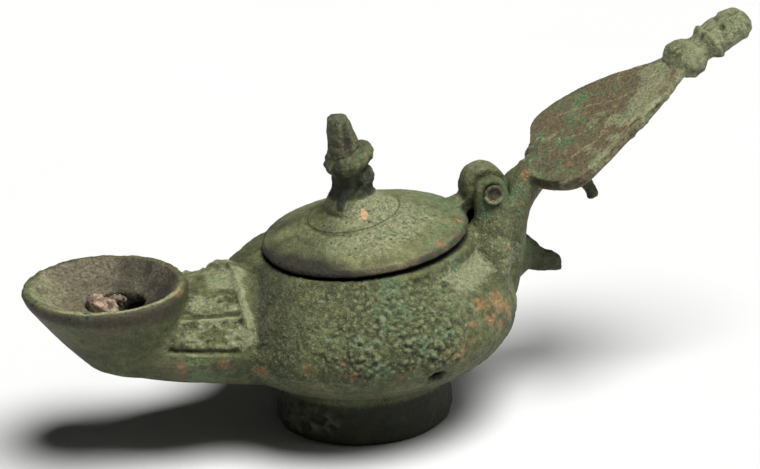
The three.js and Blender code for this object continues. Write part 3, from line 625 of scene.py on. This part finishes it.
def body_piece():
    s = Surface("lamp_body", BODY_VOXEL)
    soften_body(s)
    p = s.co.copy()
    normal = s.normals()
    m = body_measures(p)
    on = regions(m, BODY_REGIONS)
    n = noises(p, BODY_NOISES)
    drift = p + DRIFT * np.stack([noise(p, DRIFT_SIZE, DRIFT_SEED + k) for k in range(3)], 1)
    turn = [STREAK_ROUND * np.cos(m.dish_turn), STREAK_ROUND * np.sin(m.dish_turn), STREAK_DOWN * m.dish_r]
    streak = fractal(np.stack(turn, 1), *STREAK)
    hidden = np.clip(on.inside + on.channel + on.foot_hollow, 0, 1)
    stub = on.ring_stub + on.leaf_stub
    lower = on.lower * (1 - on.foot)

    # Spout: boards of broken stock between grooves with raised lips
    left = PANEL_LEFT_X + PANEL_LEFT_SLOPE * np.clip(m.neck_deg, 0, PANEL_TOP_DEG)
    panel = ramp(m.neck_x, left - PANEL_SOFT, left + PANEL_SOFT) * ramp(m.neck_x, *PANEL_RIGHT_X) * on.skin
    low_board = band(m.neck_deg, m.low_deg + BOARD_OVER, m.mid_deg - BOARD_UNDER, BOARD_SOFT)
    high_board = band(m.neck_deg, m.mid_deg + BOARD_OVER, m.top_deg - BOARD_UNDER_TOP, BOARD_SOFT)
    boards = (low_board + high_board) * panel
    # Grooves get painted shadow from the board above, and the lip below each a painted highlight, besides
    # their relief
    grooves, lips = 0, 0
    for deg in (m.low_deg, m.mid_deg):
        grooves = grooves + ramp(np.abs(m.neck_deg - deg), *GROOVE_DEG) * panel
        lips = lips + band(m.neck_deg, deg - GROOVE_LIP[0], deg - GROOVE_LIP[1], GROOVE_LIP[2]) * panel
    jagged = fractal(drift, *JAGGED)
    chunk = ramp(jagged, -0.25, 0.3)
    foot_lump = on.foot * blob(m.round_deg, m.z, *FOOT_SPOT) * ramp(m.radius, 18.5, 19.5)

    # Crust on the bowl: coarse grains on the near side up to the lid, finer ones elsewhere
    near, own = grains(drift, *COARSE_GRAINS)
    coarse = ramp(near, 0.95, 0.3) * (0.3 + 0.7 * own)
    near, own = grains(drift, *FINE_GRAINS)
    fine = ramp(near, 0.8, 0.1) * (0.25 + 0.75 * own)
    near, own = grains(p, *PIT_GRAINS)
    pits = ramp(near, 0.26, 0.08) * ramp(own, 0.55, 0.7) * (1 - hidden)
    worm = 1 - np.abs(n.worm)
    coarse_zone = band(m.round_deg + 14 * n.wide, *COARSE_DEG) * band(m.z + 3 * n.wide, *COARSE_Z)
    coarse_zone *= on.on_bowl
    leathery = band(m.round_deg + 8 * n.wide, *LEATHERY_DEG) * band(m.z + 2 * n.wide, *LEATHERY_Z)
    leathery *= on.on_bowl
    fine_zone = 0.45 * on.on_bowl + 0.55 * leathery - coarse_zone + 0.35 * on.web + 0.8 * on.past_rib
    fine_zone = np.clip(fine_zone, 0, 1)
    right = band(m.round_deg + 10 * n.wide, *RIGHT_DEG) * band(m.z, *RIGHT_Z) * on.on_bowl

    # Leaf: engraved lines, warts and a nibbled edge
    from_line = np.min([line_distance(m.la, m.lw, line) for line in LEAF_LINES], axis=0)
    vein = ramp(from_line, *LINE_HALF) * on.leaf_top
    near, own = grains(drift, *WART_GRAINS)
    wart_zone = on.handle * blob(m.la, m.lw, *WART_SPOT) * ramp(m.ln, -1, 0.8)
    wart_zone = np.clip(wart_zone + on.leaf * blob(m.la, m.lw, *WART_EDGE), 0, 1)
    warts = ramp(near, 0.72, 0.1) * own * wart_zone
    up_leaf = np.abs(normal[:, 2] * math.cos(LEAF_RISE) - normal[:, 0] * math.sin(LEAF_RISE))
    leaf_edge = on.leaf * ramp(up_leaf, 0.75, 0.4)

    # Finial: a cross of creases between its lobes, and the collar's ridge
    along_crease = ramp(np.abs(m.lw - CREASE_ASIDE), *ALONG_HALF)
    across_crease = ramp(np.abs(m.finial - CREASE_AT + CREASE_LEAN * m.lw), *ACROSS_HALF)
    cross = np.maximum(along_crease, across_crease) * on.lobes
    collar_edge = on.finial * ramp(np.abs(m.finial - COLLAR_AT), *COLLAR_HALF)
    # Rim: chips, most at the front left
    chips = on.rim * ramp(n.chipped, *CHIPPED) * (0.35 + 0.65 * band(m.dish_deg, *CHIP_DEG))

    # Relief in mm: each mask times its height
    crusted = 0.8 * (coarse - 0.4) + 0.4 * (fine - 0.4) + 0.25 * (worm - 0.7) + 0.2 * n.medium
    stock = 0.9 * jagged - 0.1 + 0.35 * n.small + 0.5 * (fine - 0.4)
    ragged = 1.2 * n.nibbled - 0.2 + 0.8 * blobs(m.la, m.lw, LEAF_LUMPS)
    height = 0.1 * n.medium + 0.06 * n.small + 0.15 * n.wide * (1 - on.leaf)
    height += coarse_zone * crusted - 0.25 * on.beside
    height += fine_zone * (0.5 * (fine - 0.35) + 0.2 * (worm - 0.7))
    height += boards * stock + 0.25 * lips * (0.6 + n.medium) - 0.2 * grooves
    height += foot_lump * (0.8 * chunk - 0.15) + on.foot * (0.2 * n.medium + 0.12 * n.small)
    height += 0.6 * warts - 0.12 * vein
    height += on.finial * (0.25 * n.knobbly + 0.25 * n.small) + 0.34 * collar_edge - 0.36 * cross
    height += leaf_edge * ragged + stub * (0.4 * n.nibbled + 0.2 * n.small)
    height += 0.12 * on.dish * (fine + n.small)
    height += on.rib * (0.25 + 0.14 * n.small) - 0.55 * chips - 0.2 * pits * (1 - on.leaf)
    height -= 0.12 * on.leaf * blobs(m.la, m.lw, LEAF_COPPER)
    s.push(height * np.where(hidden > 0.5, HIDDEN_RELIEF, 1) * (1 - on.near_pin))
    # Beyond the rib's edge the casting lies down towards the bowl
    most = SINK_FLANK + SINK_TOP * ramp(m.neck_deg, *SINK_TOP_DEG)
    sink = on.past_rib * np.minimum(1 - 1 / np.maximum(m.bowl, 1), most)
    s.co -= sink[:, None] * (p - np.array((0, 0, BOWL_WIDEST_Z)))
    s.smooth(LAY_PASSES, LAY_SHARE * on.laid_down)
    s.co[:, 2] = np.where(m.z < GROUND_Z, 0, np.maximum(s.co[:, 2], 0))
    calm = 1 - 0.7 * leaf_edge - 0.5 * boards - 0.2 * coarse_zone - 0.4 * fine_zone

    # Marks for the patina: each mask times its share
    tip_red = on.finial * ramp(m.finial, 0.9, 0.97) * ramp(m.lw, 0, -3)
    # Painted shade on the leaf's edge band low down near its base
    leaf_edge_shade = leaf_edge * ramp(m.la, 12, 6) * ramp(m.ln, 0.2, -2)
    # Painted shade in the dish: darker towards its right side and low down
    dish_shade = 0.7 * ramp(m.x, -66, -46) * (0.9 + n.wide) + 0.7 * ramp(m.z, 36.6, 35)
    marks = dict(
        relief=s.standing(height, BODY_STAND_PASSES) / BODY_STAND * calm,
        # pale: crust, plus painted light on the bowl's upper near-right shoulder, on the dish's left wall, on
        # the lips below the spout's grooves and along the mouth's front crest; less pale on the lower belly,
        # the foot and the spout's outside as painted shade
        pale=0.14 + 0.4 * n.medium + 0.4 * boards * (0.3 + chunk) + 0.34 * on.crest + 0.3 * lips
        + 0.7 * on.rib * (0.9 + n.medium) + 0.4 * on.before_rib * (0.8 + n.medium) - 0.35 * on.past_rib
        + 0.6 * on.finial + on.shoulder * (0.9 + n.wide) + 0.42 * on.web * (0.6 + n.wide)
        + 0.12 * foot_lump * chunk + 0.7 * on.leaf_top * (blobs(m.la, m.lw, LEAF_PALE) + n.leaf_pale)
        + 0.7 * on.crest_line - 0.3 * lower - 0.5 * on.foot - 0.2 * stub + 0.25 * warts - 0.25 * on.spout
        + on.dish * (0.6 * ramp(m.x, -63, -71) + 0.3 * streak - 0.2)
        + 0.25 * leaf_edge * ramp(m.la, 6, 12) + 0.16 * right,
        verd=0.24 + 0.4 * n.wide + 0.36 * n.medium + 0.1 * coarse_zone + 0.35 * warts
        + 0.35 * spots(p, BODY_GREEN) + 0.05 * on.rim + 0.16 * blob(m.x, m.z, *HINGE_SPOT)
        + on.leaf_top * (0.34 * blobs(m.la, m.lw, LEAF_GREEN) + 0.3 * n.leaf_green)
        - 0.2 * boards - 0.25 * on.dish - 0.1 * on.foot - 0.06 * on.spout - 0.2 * on.lip_out,
        copper=0.04 + 0.16 * n.medium + (0.16 * lower + 0.18 * right) * (0.6 + n.wide)
        + 0.54 * spots(p, BODY_COPPER) * (0.9 + 0.5 * n.small)
        + on.leaf_top * (0.24 * blobs(m.la, m.lw, LEAF_COPPER) + 0.2 * n.leaf_red) + 0.1 * on.leaf
        + 0.4 * tip_red - 0.2 * on.dish - 0.1 * coarse_zone - 0.1 * on.foot,
        brown=0.12 + 0.82 * on.leaf + 0.3 * lower + 0.3 * on.stem + 0.24 * n.wide
        + 0.26 * on.spout * (0.6 + n.wide) - 0.2 * on.finial + 0.3 * on.lip_out,
        tan=on.dish * (0.95 + 0.3 * n.wide),
        # dark: painted shade inside the body, under the lid's edge, in the hinge slot and the spout's grooves,
        # on the lower belly, the foot, the dish, the spout's outside, the bowl's near left and the leaf's low
        # edge; the other terms darken patches, the stubs and the chips
        dark=hidden + 0.9 * on.gap + 0.9 * on.slot + 0.5 * stub + 0.34 * lower
        + 0.78 * on.foot * (1 - 0.4 * foot_lump * (0.6 + n.small))
        + on.dish * (dish_shade + 0.4 * n.medium - 0.28 * streak + 0.12)
        + 0.3 * grooves + 0.2 * chips + 0.26 * on.spout + 0.36 * on.lip_out
        + 0.6 * on.leaf_top * n.leaf_dark + 0.3 * on.beside
        + 0.4 * on.past_rib + 0.25 * on.far_left + 0.3 * leaf_edge_shade,
        grain=np.clip(0.5 * fine_zone + 0.35 * coarse_zone + 0.3 * boards + 0.35 * on.dish + 0.5 * warts
                      + 0.3 * on.finial + 0.3 * on.web, 0, 1),
        pink=np.zeros(len(p)),
        # Engraved lines on the leaf, and a painted highlight along the mouth's front crest
        scratch_and_glint=0.5 * vein + 0.6 * on.crest_line,
    )
    bronze = patina("body_patina", OLIVE)
    s.piece("lamp_body_cast", BODY_TRIANGLES, bronze, "lamp", "lamp_body", marks)


def lid_place(p):
    """The lid's own frame: X, Y and height over its lower edge."""
    dx, dz = p[:, 0] - LID_X, p[:, 2] - LID_Z
    c, s = math.cos(LID_TILT), math.sin(LID_TILT)
    return dx * c + dz * s, p[:, 1], dz * c - dx * s


# The slanting cut and the fold on the knob: height and slope at a place along the lid
SLASH_H, SLASH_SLOPE, SLASH_U = 15.2, 0.85, 0.2
FOLD_H, FOLD_SLOPE, FOLD_U = 21.4, 0.36, -2.4
# A raised dot beside the knob, and a pink spot before it with its half sizes
DOT_U, DOT_V = -5.4, -3.9
PINK_U, PINK_V, PINK_LONG, PINK_BROAD = -1.7, -7.4, 1.2, 1.9


def lid_measures(p):
    """Places on the lid that its regions are bounded by, in mm or degrees."""
    u, v, h = lid_place(p)
    ring = np.hypot(u - LID_GROOVE_X, v)
    return SimpleNamespace(
        u=u, v=v, h=h, z=p[:, 2], side=np.abs(v), r=np.hypot(u, v), round_deg=np.degrees(np.arctan2(-v, u)),
        ring=ring, groove=np.abs(ring - LID_GROOVE_RADIUS),
        knob_r=np.hypot(u - KNOB_X, v), knob_deg=np.degrees(np.arctan2(-v, u - KNOB_X)),
        slash=np.abs(h - (SLASH_H + SLASH_SLOPE * (u - SLASH_U))),
        fold=np.abs(h - (FOLD_H + FOLD_SLOPE * (u - FOLD_U))),
        dot=np.hypot(u - DOT_U, v - DOT_V), pink=np.hypot((u - PINK_U) / PINK_LONG, (v - PINK_V) / PINK_BROAD),
        pin_off=np.hypot(p[:, 0] - PIN_X, p[:, 2] - PIN_Z),
    )


# Where the remeshed lid keeps its edges, and where it is rounded off more
CRISP_KNOB = (("knob_r", 8, 7), ("h", 11.5, 13))
KNOB_FLARE = (("knob_r", 10.5, 9), ("knob_r", 4.2, 5.4), ("h", 15, 13), ("h", 7.8, 8.3))
KNOB_CRISPNESS, LID_PASSES, FLARE_PASSES = 0.42, 18, 150
# Soft bounds of the lid's regions
KNOB = (("knob_r", 9, 8), ("h", 10.6, 11.8))
BUD = KNOB + (("h", 21, 22.5),)
LID_REGIONS = {
    "knob": KNOB,
    "bud": BUD,
    "stripe": BUD + (("knob_deg", 78, 90), ("knob_deg", 118, 106), ("h", 29.4, 28.4)),
    "collar": KNOB + (("h", 15.3, 17.7), ("h", 23.2, 20.8)),
    "slash": KNOB + (("slash", 0.9, 0.2), ("v", 0, -2), ("u", -3.6, -2.0), ("u", 5.3, 3.7)),
    "fold": KNOB + (("fold", 0.8, 0.15), ("knob_deg", 10, 30), ("knob_deg", 180, 160)),
    "arm": (("u", 21.8, 23.4), ("side", 4.4, 3.6)),
    "arm_side": (("side", 2.5, 3.1), ("z", 50, 48)),
    "front": (("v", 4, -8),),
    "underneath": (("h", 9.5, 9.0), ("r", 24.5, 23.0)),
    "pitted": (("r", 7, 11), ("r", 20, 16)),
    "ringed": (("ring", 1.5, 6.5), ("ring", 20.5, 15.5)),
    "turned": (("r", 10, 12), ("r", 20, 17)),
    "edge": (("r", 22.4, 23.4), ("h", 3.0, 1.8)),
    "outer": (("r", 19.2, 22),),
    "boss": (("ring", LID_GROOVE_RADIUS + 0.1, LID_GROOVE_RADIUS - 0.7),),
    "cut": (("groove", 0.8, 0.2),),
    "cut_line": (("groove", 0.5, 0.15),),
    "dot": (("dot", 1.5, 0.6), ("h", 9, 9.8)),
    "pink": (("pink", 1.0, 0.2),),
    "bore": (("pin_off", 3.3, 2.8),),
}
# Noises of the lid: size in mm, octaves and seed
LID_NOISES = {
    "wide": (11.0, 3, 111), "medium": (4.0, 3, 121), "small": (1.4, 3, 131), "lumpy": (3.0, 2, 161),
    "ridged": (2.4, 4, 165), "edge": (2.4, 2, 175),
}
LID_PITS, LID_DOTS, LID_CRUMBS, CRUMB_DRIFT = (1.5, 141), (0.85, 151), (0.95, 157), (1.4, 155)
TURNING_PITCH, LIT_DEG = 1.9, (15, 118, 14)
LID_COPPER = ((11.6, -18.6, 2.6), (-20, -9, 2), (19.5, -9.5, 2.4))
LID_PALE_SPOT, FLARE_SHADE = ((-9.9, -13.4), (6, 5)), ((-8, -3), (5, 5))
# As for the body; the knob's relief needs this much more height
LID_STAND_PASSES, LID_STAND, KNOB_STAND = 12, 0.17, 0.1


def lid_piece():
    s = Surface("lid", LID_VOXEL)
    s.smooth(LID_PASSES, EVEN - KNOB_CRISPNESS * region(lid_measures(s.co), CRISP_KNOB))
    s.smooth(FLARE_PASSES, EVEN * region(lid_measures(s.co), KNOB_FLARE))
    p = s.co.copy()
    normal_z = s.normals()[:, 2]
    m = lid_measures(p)
    on = regions(m, LID_REGIONS)
    n = noises(p, LID_NOISES)
    under = ramp(normal_z, -0.1, -0.4) * on.underneath
    dome = (1 - on.knob) * (1 - on.arm) * (1 - under)
    edge, outer, cut, boss = on.edge * (1 - on.arm), on.outer * dome, on.cut * dome, on.boss * dome
    lit = on.ringed * band(m.round_deg + 12 * n.wide, *LIT_DEG) * dome
    ridged = 1 - 2 * np.abs(n.ridged)

    # Pits, specks and crumbs of crust on the dome, with faint turning marks
    pit_zone = dome * np.clip(0.3 + 0.8 * n.wide + 0.7 * on.pitted * on.front, 0, 1)
    near, own = grains(p, *LID_PITS)
    pits = ramp(near, 0.36, 0.08) * ramp(own, 0.45, 0.75) * pit_zone
    near, own = grains(p, *LID_DOTS)
    dots = ramp(near, 0.42, 0.12) * ramp(own, 0.6, 0.72) * pit_zone
    near, own = grains(p + 0.3 * noise(p, *CRUMB_DRIFT)[:, None], *LID_CRUMBS)
    crumbs = ramp(near, 0.8, 0.1) * own * lit
    turned = np.sin(2 * math.pi * m.r / TURNING_PITCH) * dome * on.turned

    # Relief in mm: each mask times its height
    height = 0.06 * n.medium + 0.05 * n.small + 0.12 * n.wide * dome + 0.05 * turned
    height += -0.26 * pits - 0.16 * dots + 0.2 * cut + 0.4 * on.dot + 0.25 * boss + 0.26 * crumbs
    height += -0.2 * on.stripe + 0.8 * on.collar * n.lumpy - 0.35 * on.slash - 0.35 * on.fold
    height += on.knob * (0.22 * ridged * (1 - 0.7 * on.bud) + 0.15 * n.small)
    height += on.arm * (0.25 * n.medium + 0.15 * n.small) + 0.15 * edge * n.edge
    s.push(height * (1 - 0.6 * under) * (1 - on.bore))
    relief = s.standing(height, LID_STAND_PASSES) / (LID_STAND + KNOB_STAND * on.knob)
    relief = relief * (1 - cut) - 0.8 * on.cut_line * dome

    # Marks for the patina: each mask times its share
    marks = dict(
        relief=relief,
        # pale: crust, plus painted light on the lit front of the dome, on the knob's ridges and on the arm's
        # upward faces
        pale=0.3 + 0.26 * n.medium + 0.5 * lit + 0.2 * boss * on.front
        - 0.45 * on.knob + 0.3 * on.knob * ridged - 0.3 * edge - 0.2 * outer
        + 0.3 * dome * blob(m.u, m.v, *LID_PALE_SPOT) + 0.3 * on.arm * ramp(normal_z, 0.5, 0.9),
        verd=0.22 + 0.28 * n.wide + 0.2 * n.medium + 0.25 * on.knob
        + 0.22 * dome * ramp(m.u, 4, 12) + 0.3 * on.dot,
        copper=0.04 + 0.18 * n.medium + 0.45 * blobs(m.u, m.v, LID_COPPER) + 0.1 * edge,
        brown=0.1 + 0.24 * n.wide + 0.34 * edge + 0.45 * on.bud + 0.3 * outer * on.front + 0.2 * on.arm,
        tan=0.2 * on.bud,
        # dark: painted shade under the lid, on the knuckle's sides, between the knob's ridges, at the knob's
        # flare and over the dome's left side, and darker towards the far side; the other terms darken the
        # edge, the outer band, the knob, the stripe and the dot
        dark=0.92 * under + 0.5 * edge * (0.8 + 0.5 * n.medium) + 0.3 * on.knob * ramp(m.h, 20, 14)
        + 0.25 * on.stripe + 0.58 * on.knob - 0.22 * on.knob * ridged
        + 0.4 * on.arm + 0.5 * on.arm * on.arm_side + 0.26 * outer * on.front * (0.8 + n.wide)
        + 0.6 * on.dot + 0.3 * blob(m.u, m.v, *FLARE_SHADE) * dome
        + 0.46 * ramp(m.u, -6, -17) * dome * (0.8 + n.wide) + 0.12 * ramp(m.v, 4, 14) * dome,
        grain=np.clip(0.45 * lit + 0.2 * dome + 0.35 * on.knob + 0.4 * on.arm, 0, 1) * (1 - under),
        pink=on.pink,
        scratch_and_glint=np.zeros(len(p)),
    )
    bronze = patina("lid_patina", LID_OLIVE)
    s.piece("lid_cast", LID_TRIANGLES, bronze, "lid", "lid", marks)


# Soft bounds on the pin and its worn lips, and its noise
PIN_END, PIN_HOLLOW, PIN_LIP, PIN_LOW = (6.9, 7.2), (1.75, 1.2), (1.6, 2.3, 0.2), (1.2, -1.2)
PIN_NOISE, SMALL_PASSES = (1.0, 3, 181), 6


def pin_piece():
    s = Surface("hinge_pin", PIN_VOXEL)
    s.smooth(SMALL_PASSES, EVEN)
    p = s.co.copy()
    r = np.hypot(p[:, 0] - PIN_X, p[:, 2] - PIN_Z)
    end = ramp(np.abs(p[:, 1]), *PIN_END)
    low = ramp(p[:, 2] - PIN_Z, *PIN_LOW)
    hollow = end * ramp(r, *PIN_HOLLOW)
    lip = end * band(r, *PIN_LIP)
    small = fractal(p, *PIN_NOISE)
    s.push(0.3 * lip * (0.2 + 0.8 * low) * (0.7 + small) - 0.3 * hollow + 0.12 * small * end)
    zero = np.zeros(len(p))
    # The bore's lower lip gets a painted highlight and its upper part painted shade, in the pale, relief and
    # dark marks
    marks = dict(
        relief=0.8 * lip * low - 0.5 * hollow * (1 - 0.6 * low) + 0.5 * small,
        pale=0.2 + 0.4 * lip * low + 0.2 * small,
        verd=0.25 + 0.3 * small,
        copper=0.15 + 0.2 * hollow * low,
        brown=0.5 + zero,
        tan=zero,
        dark=0.42 - 0.25 * low + 0.2 * hollow,
        grain=0.4 + zero,
        pink=zero,
        scratch_and_glint=zero,
    )
    bronze = patina("pin_patina", PIN_BROWN)
    s.piece("hinge_pin_cast", PIN_TRIANGLES, bronze, "lamp", "hinge_pin", marks)


ASH_STOPS = ((0.32, rgb(86, 71, 58)), (0.5, rgb(136, 117, 98)), (0.68, rgb(172, 153, 132)))
ASH_SHADE, ASH_HOLLOW, CHAR = rgb(60, 48, 40), rgb(40, 32, 26), rgb(44, 36, 29)
ASH_LUMPS, ASH_CRUMBS = (650, 5, 0.6), (2400, 4, 0.65, 0.5)
ASH_BUMP, ASH_BUMP_DEPTH = 0.7, 0.0003


def residue_material():
    """Burnt wick: pinkish ash over char, crumbly."""
    s = Shader("wick_ash")
    crumb = s.noise(*ASH_CRUMBS)
    colour = s.ramp(s.noise(*ASH_LUMPS), *ASH_STOPS)
    colour = s.mix(s.spread(crumb, 0.45, 0.3, 0.0, 0.7), colour, ASH_SHADE)
    # Hollows of the ash get painted shade
    colour = s.mix(s.spread(s.mark("relief"), -0.1, -0.8, 0.0, 0.8), colour, ASH_HOLLOW)
    colour = s.mix(s.mark("char"), colour, CHAR)
    s.feed(s.out.inputs["Base Color"], colour)
    s.feed(s.out.inputs["Roughness"], s.math("MULTIPLY_ADD", crumb, 0.2, 0.75))
    bump = s.add("ShaderNodeBump", {"Height": crumb, "Strength": ASH_BUMP, "Distance": ASH_BUMP_DEPTH})
    s.feed(s.out.inputs["Normal"], bump.outputs[0])
    return s.material


RESIDUE_LUMPS, RESIDUE_GRAINS, HOLE_WALL = (2.2, 4, 191), (1.1, 201), (5.6, 6.3)
CHAR_X, CHAR_Z = (-58.5, -56), (36.5, 34.5)


def residue_piece():
    s = Surface("wick_residue", RESIDUE_VOXEL)
    s.smooth(SMALL_PASSES, EVEN)
    p = s.co.copy()
    lumps = fractal(p, *RESIDUE_LUMPS)
    near, own = grains(p, *RESIDUE_GRAINS)
    crumbs = ramp(near, 0.8, 0.1) * own
    wall = ramp(np.hypot(p[:, 0] - WICK_HOLE_X, p[:, 1]), *HOLE_WALL)
    s.push((lumps + 0.5 * crumbs - 0.35) * (1 - 0.8 * wall))
    marks = dict(
        relief=1.3 * lumps + 0.8 * crumbs - 0.5,
        char=0.55 * ramp(p[:, 0], *CHAR_X) + 0.3 * ramp(p[:, 2], *CHAR_Z),
    )
    ash = residue_material()
    s.piece("wick_residue_lump", RESIDUE_TRIANGLES, ash, "lamp", "wick_residue", marks)


# Camera, from the photograph's viewing angle
VIEW_AZIMUTH, VIEW_ELEVATION, VIEW_ROLL = math.radians(-18.0), math.radians(21.5), math.radians(2.4)
IMAGE_WIDTH, IMAGE_HEIGHT = 760, 469
FOCAL_PIXELS, SCALE_PIXELS = 3905.0, 4.33
FOOT_PIXEL = (364.5, 410.5)
SENSOR, CLIP_START, CLIP_END = 36.0, 0.05, 20


def make_camera():
    ca, sa = math.cos(VIEW_AZIMUTH), math.sin(VIEW_AZIMUTH)
    ce, se = math.cos(VIEW_ELEVATION), math.sin(VIEW_ELEVATION)
    back = Vector((sa * ce, -ca * ce, se))
    level = Vector((ca, sa, 0))
    upright = back.cross(level)
    right = level * math.cos(VIEW_ROLL) - upright * math.sin(VIEW_ROLL)
    up = level * math.sin(VIEW_ROLL) + upright * math.cos(VIEW_ROLL)
    depth = FOCAL_PIXELS / SCALE_PIXELS / MM
    aside = depth * (FOOT_PIXEL[0] - IMAGE_WIDTH / 2) / FOCAL_PIXELS
    below = -depth * (FOOT_PIXEL[1] - IMAGE_HEIGHT / 2) / FOCAL_PIXELS
    data = bpy.data.cameras.new("camera")
    data.sensor_fit = "HORIZONTAL"
    data.sensor_width = SENSOR
    data.lens = FOCAL_PIXELS / IMAGE_WIDTH * SENSOR
    data.clip_start, data.clip_end = CLIP_START, CLIP_END
    camera = bpy.data.objects.new("camera", data)
    scene.collection.objects.link(camera)
    spot = Vector((FOOT_X / MM, 0, 0)) - right * aside - up * below + back * depth
    turn = Matrix((right, up, back)).transposed().to_4x4()
    camera.matrix_world = Matrix.Translation(spot) @ turn
    scene.camera = camera


# Floor in metres, and lights: name, strength, breadth in degrees, direction to the light and tint
FLOOR_HALF, FLOOR_Z, FLOOR_ROUGHNESS, FLOOR_SPECULAR = 6.0, -0.0001, 0.9, 0.2
FLOOR_NOISE = (6, 3)
FLOOR_TONES = ((0.3, (0.52, 0.526, 0.541, 1)), (0.7, (0.533, 0.539, 0.554, 1)))
WORLD_TONE, WORLD_STRENGTH = (1, 1, 1, 1), 0.03
WARM, COOL = (1, 0.985, 0.95), (0.97, 0.98, 1)
LIGHTS = (
    ("key", 6.0, 34, (0.16, -0.32, 1), WARM),
    ("side", 0.6, 50, (0.9, -0.4, 0.5), WARM),
    ("fill", 0.06, 60, (-0.5, -0.9, 0.25), COOL),
)


def sun(name, strength, angle, towards, tint):
    """A broad soft light from far off; towards points from the object to the light."""
    data = bpy.data.lights.new(name, "SUN")
    data.energy = strength
    data.angle = math.radians(angle)
    data.color = tint
    light = bpy.data.objects.new(name, data)
    light.rotation_mode = "QUATERNION"
    light.rotation_quaternion = Vector(towards).to_track_quat("Z", "Y")
    scene.collection.objects.link(light)


def make_stage():
    """A pale floor, an even world and three soft lights."""
    floor_mesh = bpy.data.meshes.new("floor")
    corners = [(sx * FLOOR_HALF, sy * FLOOR_HALF, 0) for sx, sy in ((-1, -1), (1, -1), (1, 1), (-1, 1))]
    floor_mesh.from_pydata(corners, [], [(0, 1, 2, 3)])
    s = Shader("pale_floor")
    s.feed(s.out.inputs["Base Color"], s.ramp(s.noise(*FLOOR_NOISE), *FLOOR_TONES))
    s.out.inputs["Roughness"].default_value = FLOOR_ROUGHNESS
    s.out.inputs["Specular IOR Level"].default_value = FLOOR_SPECULAR
    floor_mesh.materials.append(s.material)
    floor = bpy.data.objects.new("floor", floor_mesh)
    floor.location.z = FLOOR_Z
    scene.collection.objects.link(floor)
    world = bpy.data.worlds.new("studio")
    world.use_nodes = True
    world.node_tree.nodes["Background"].inputs["Color"].default_value = WORLD_TONE
    world.node_tree.nodes["Background"].inputs["Strength"].default_value = WORLD_STRENGTH
    scene.world = world
    for light in LIGHTS:
        sun(*light)
    scene.view_settings.view_transform = "Standard"


make_camera()
make_stage()
body_piece()
lid_piece()
pin_piece()
residue_piece()
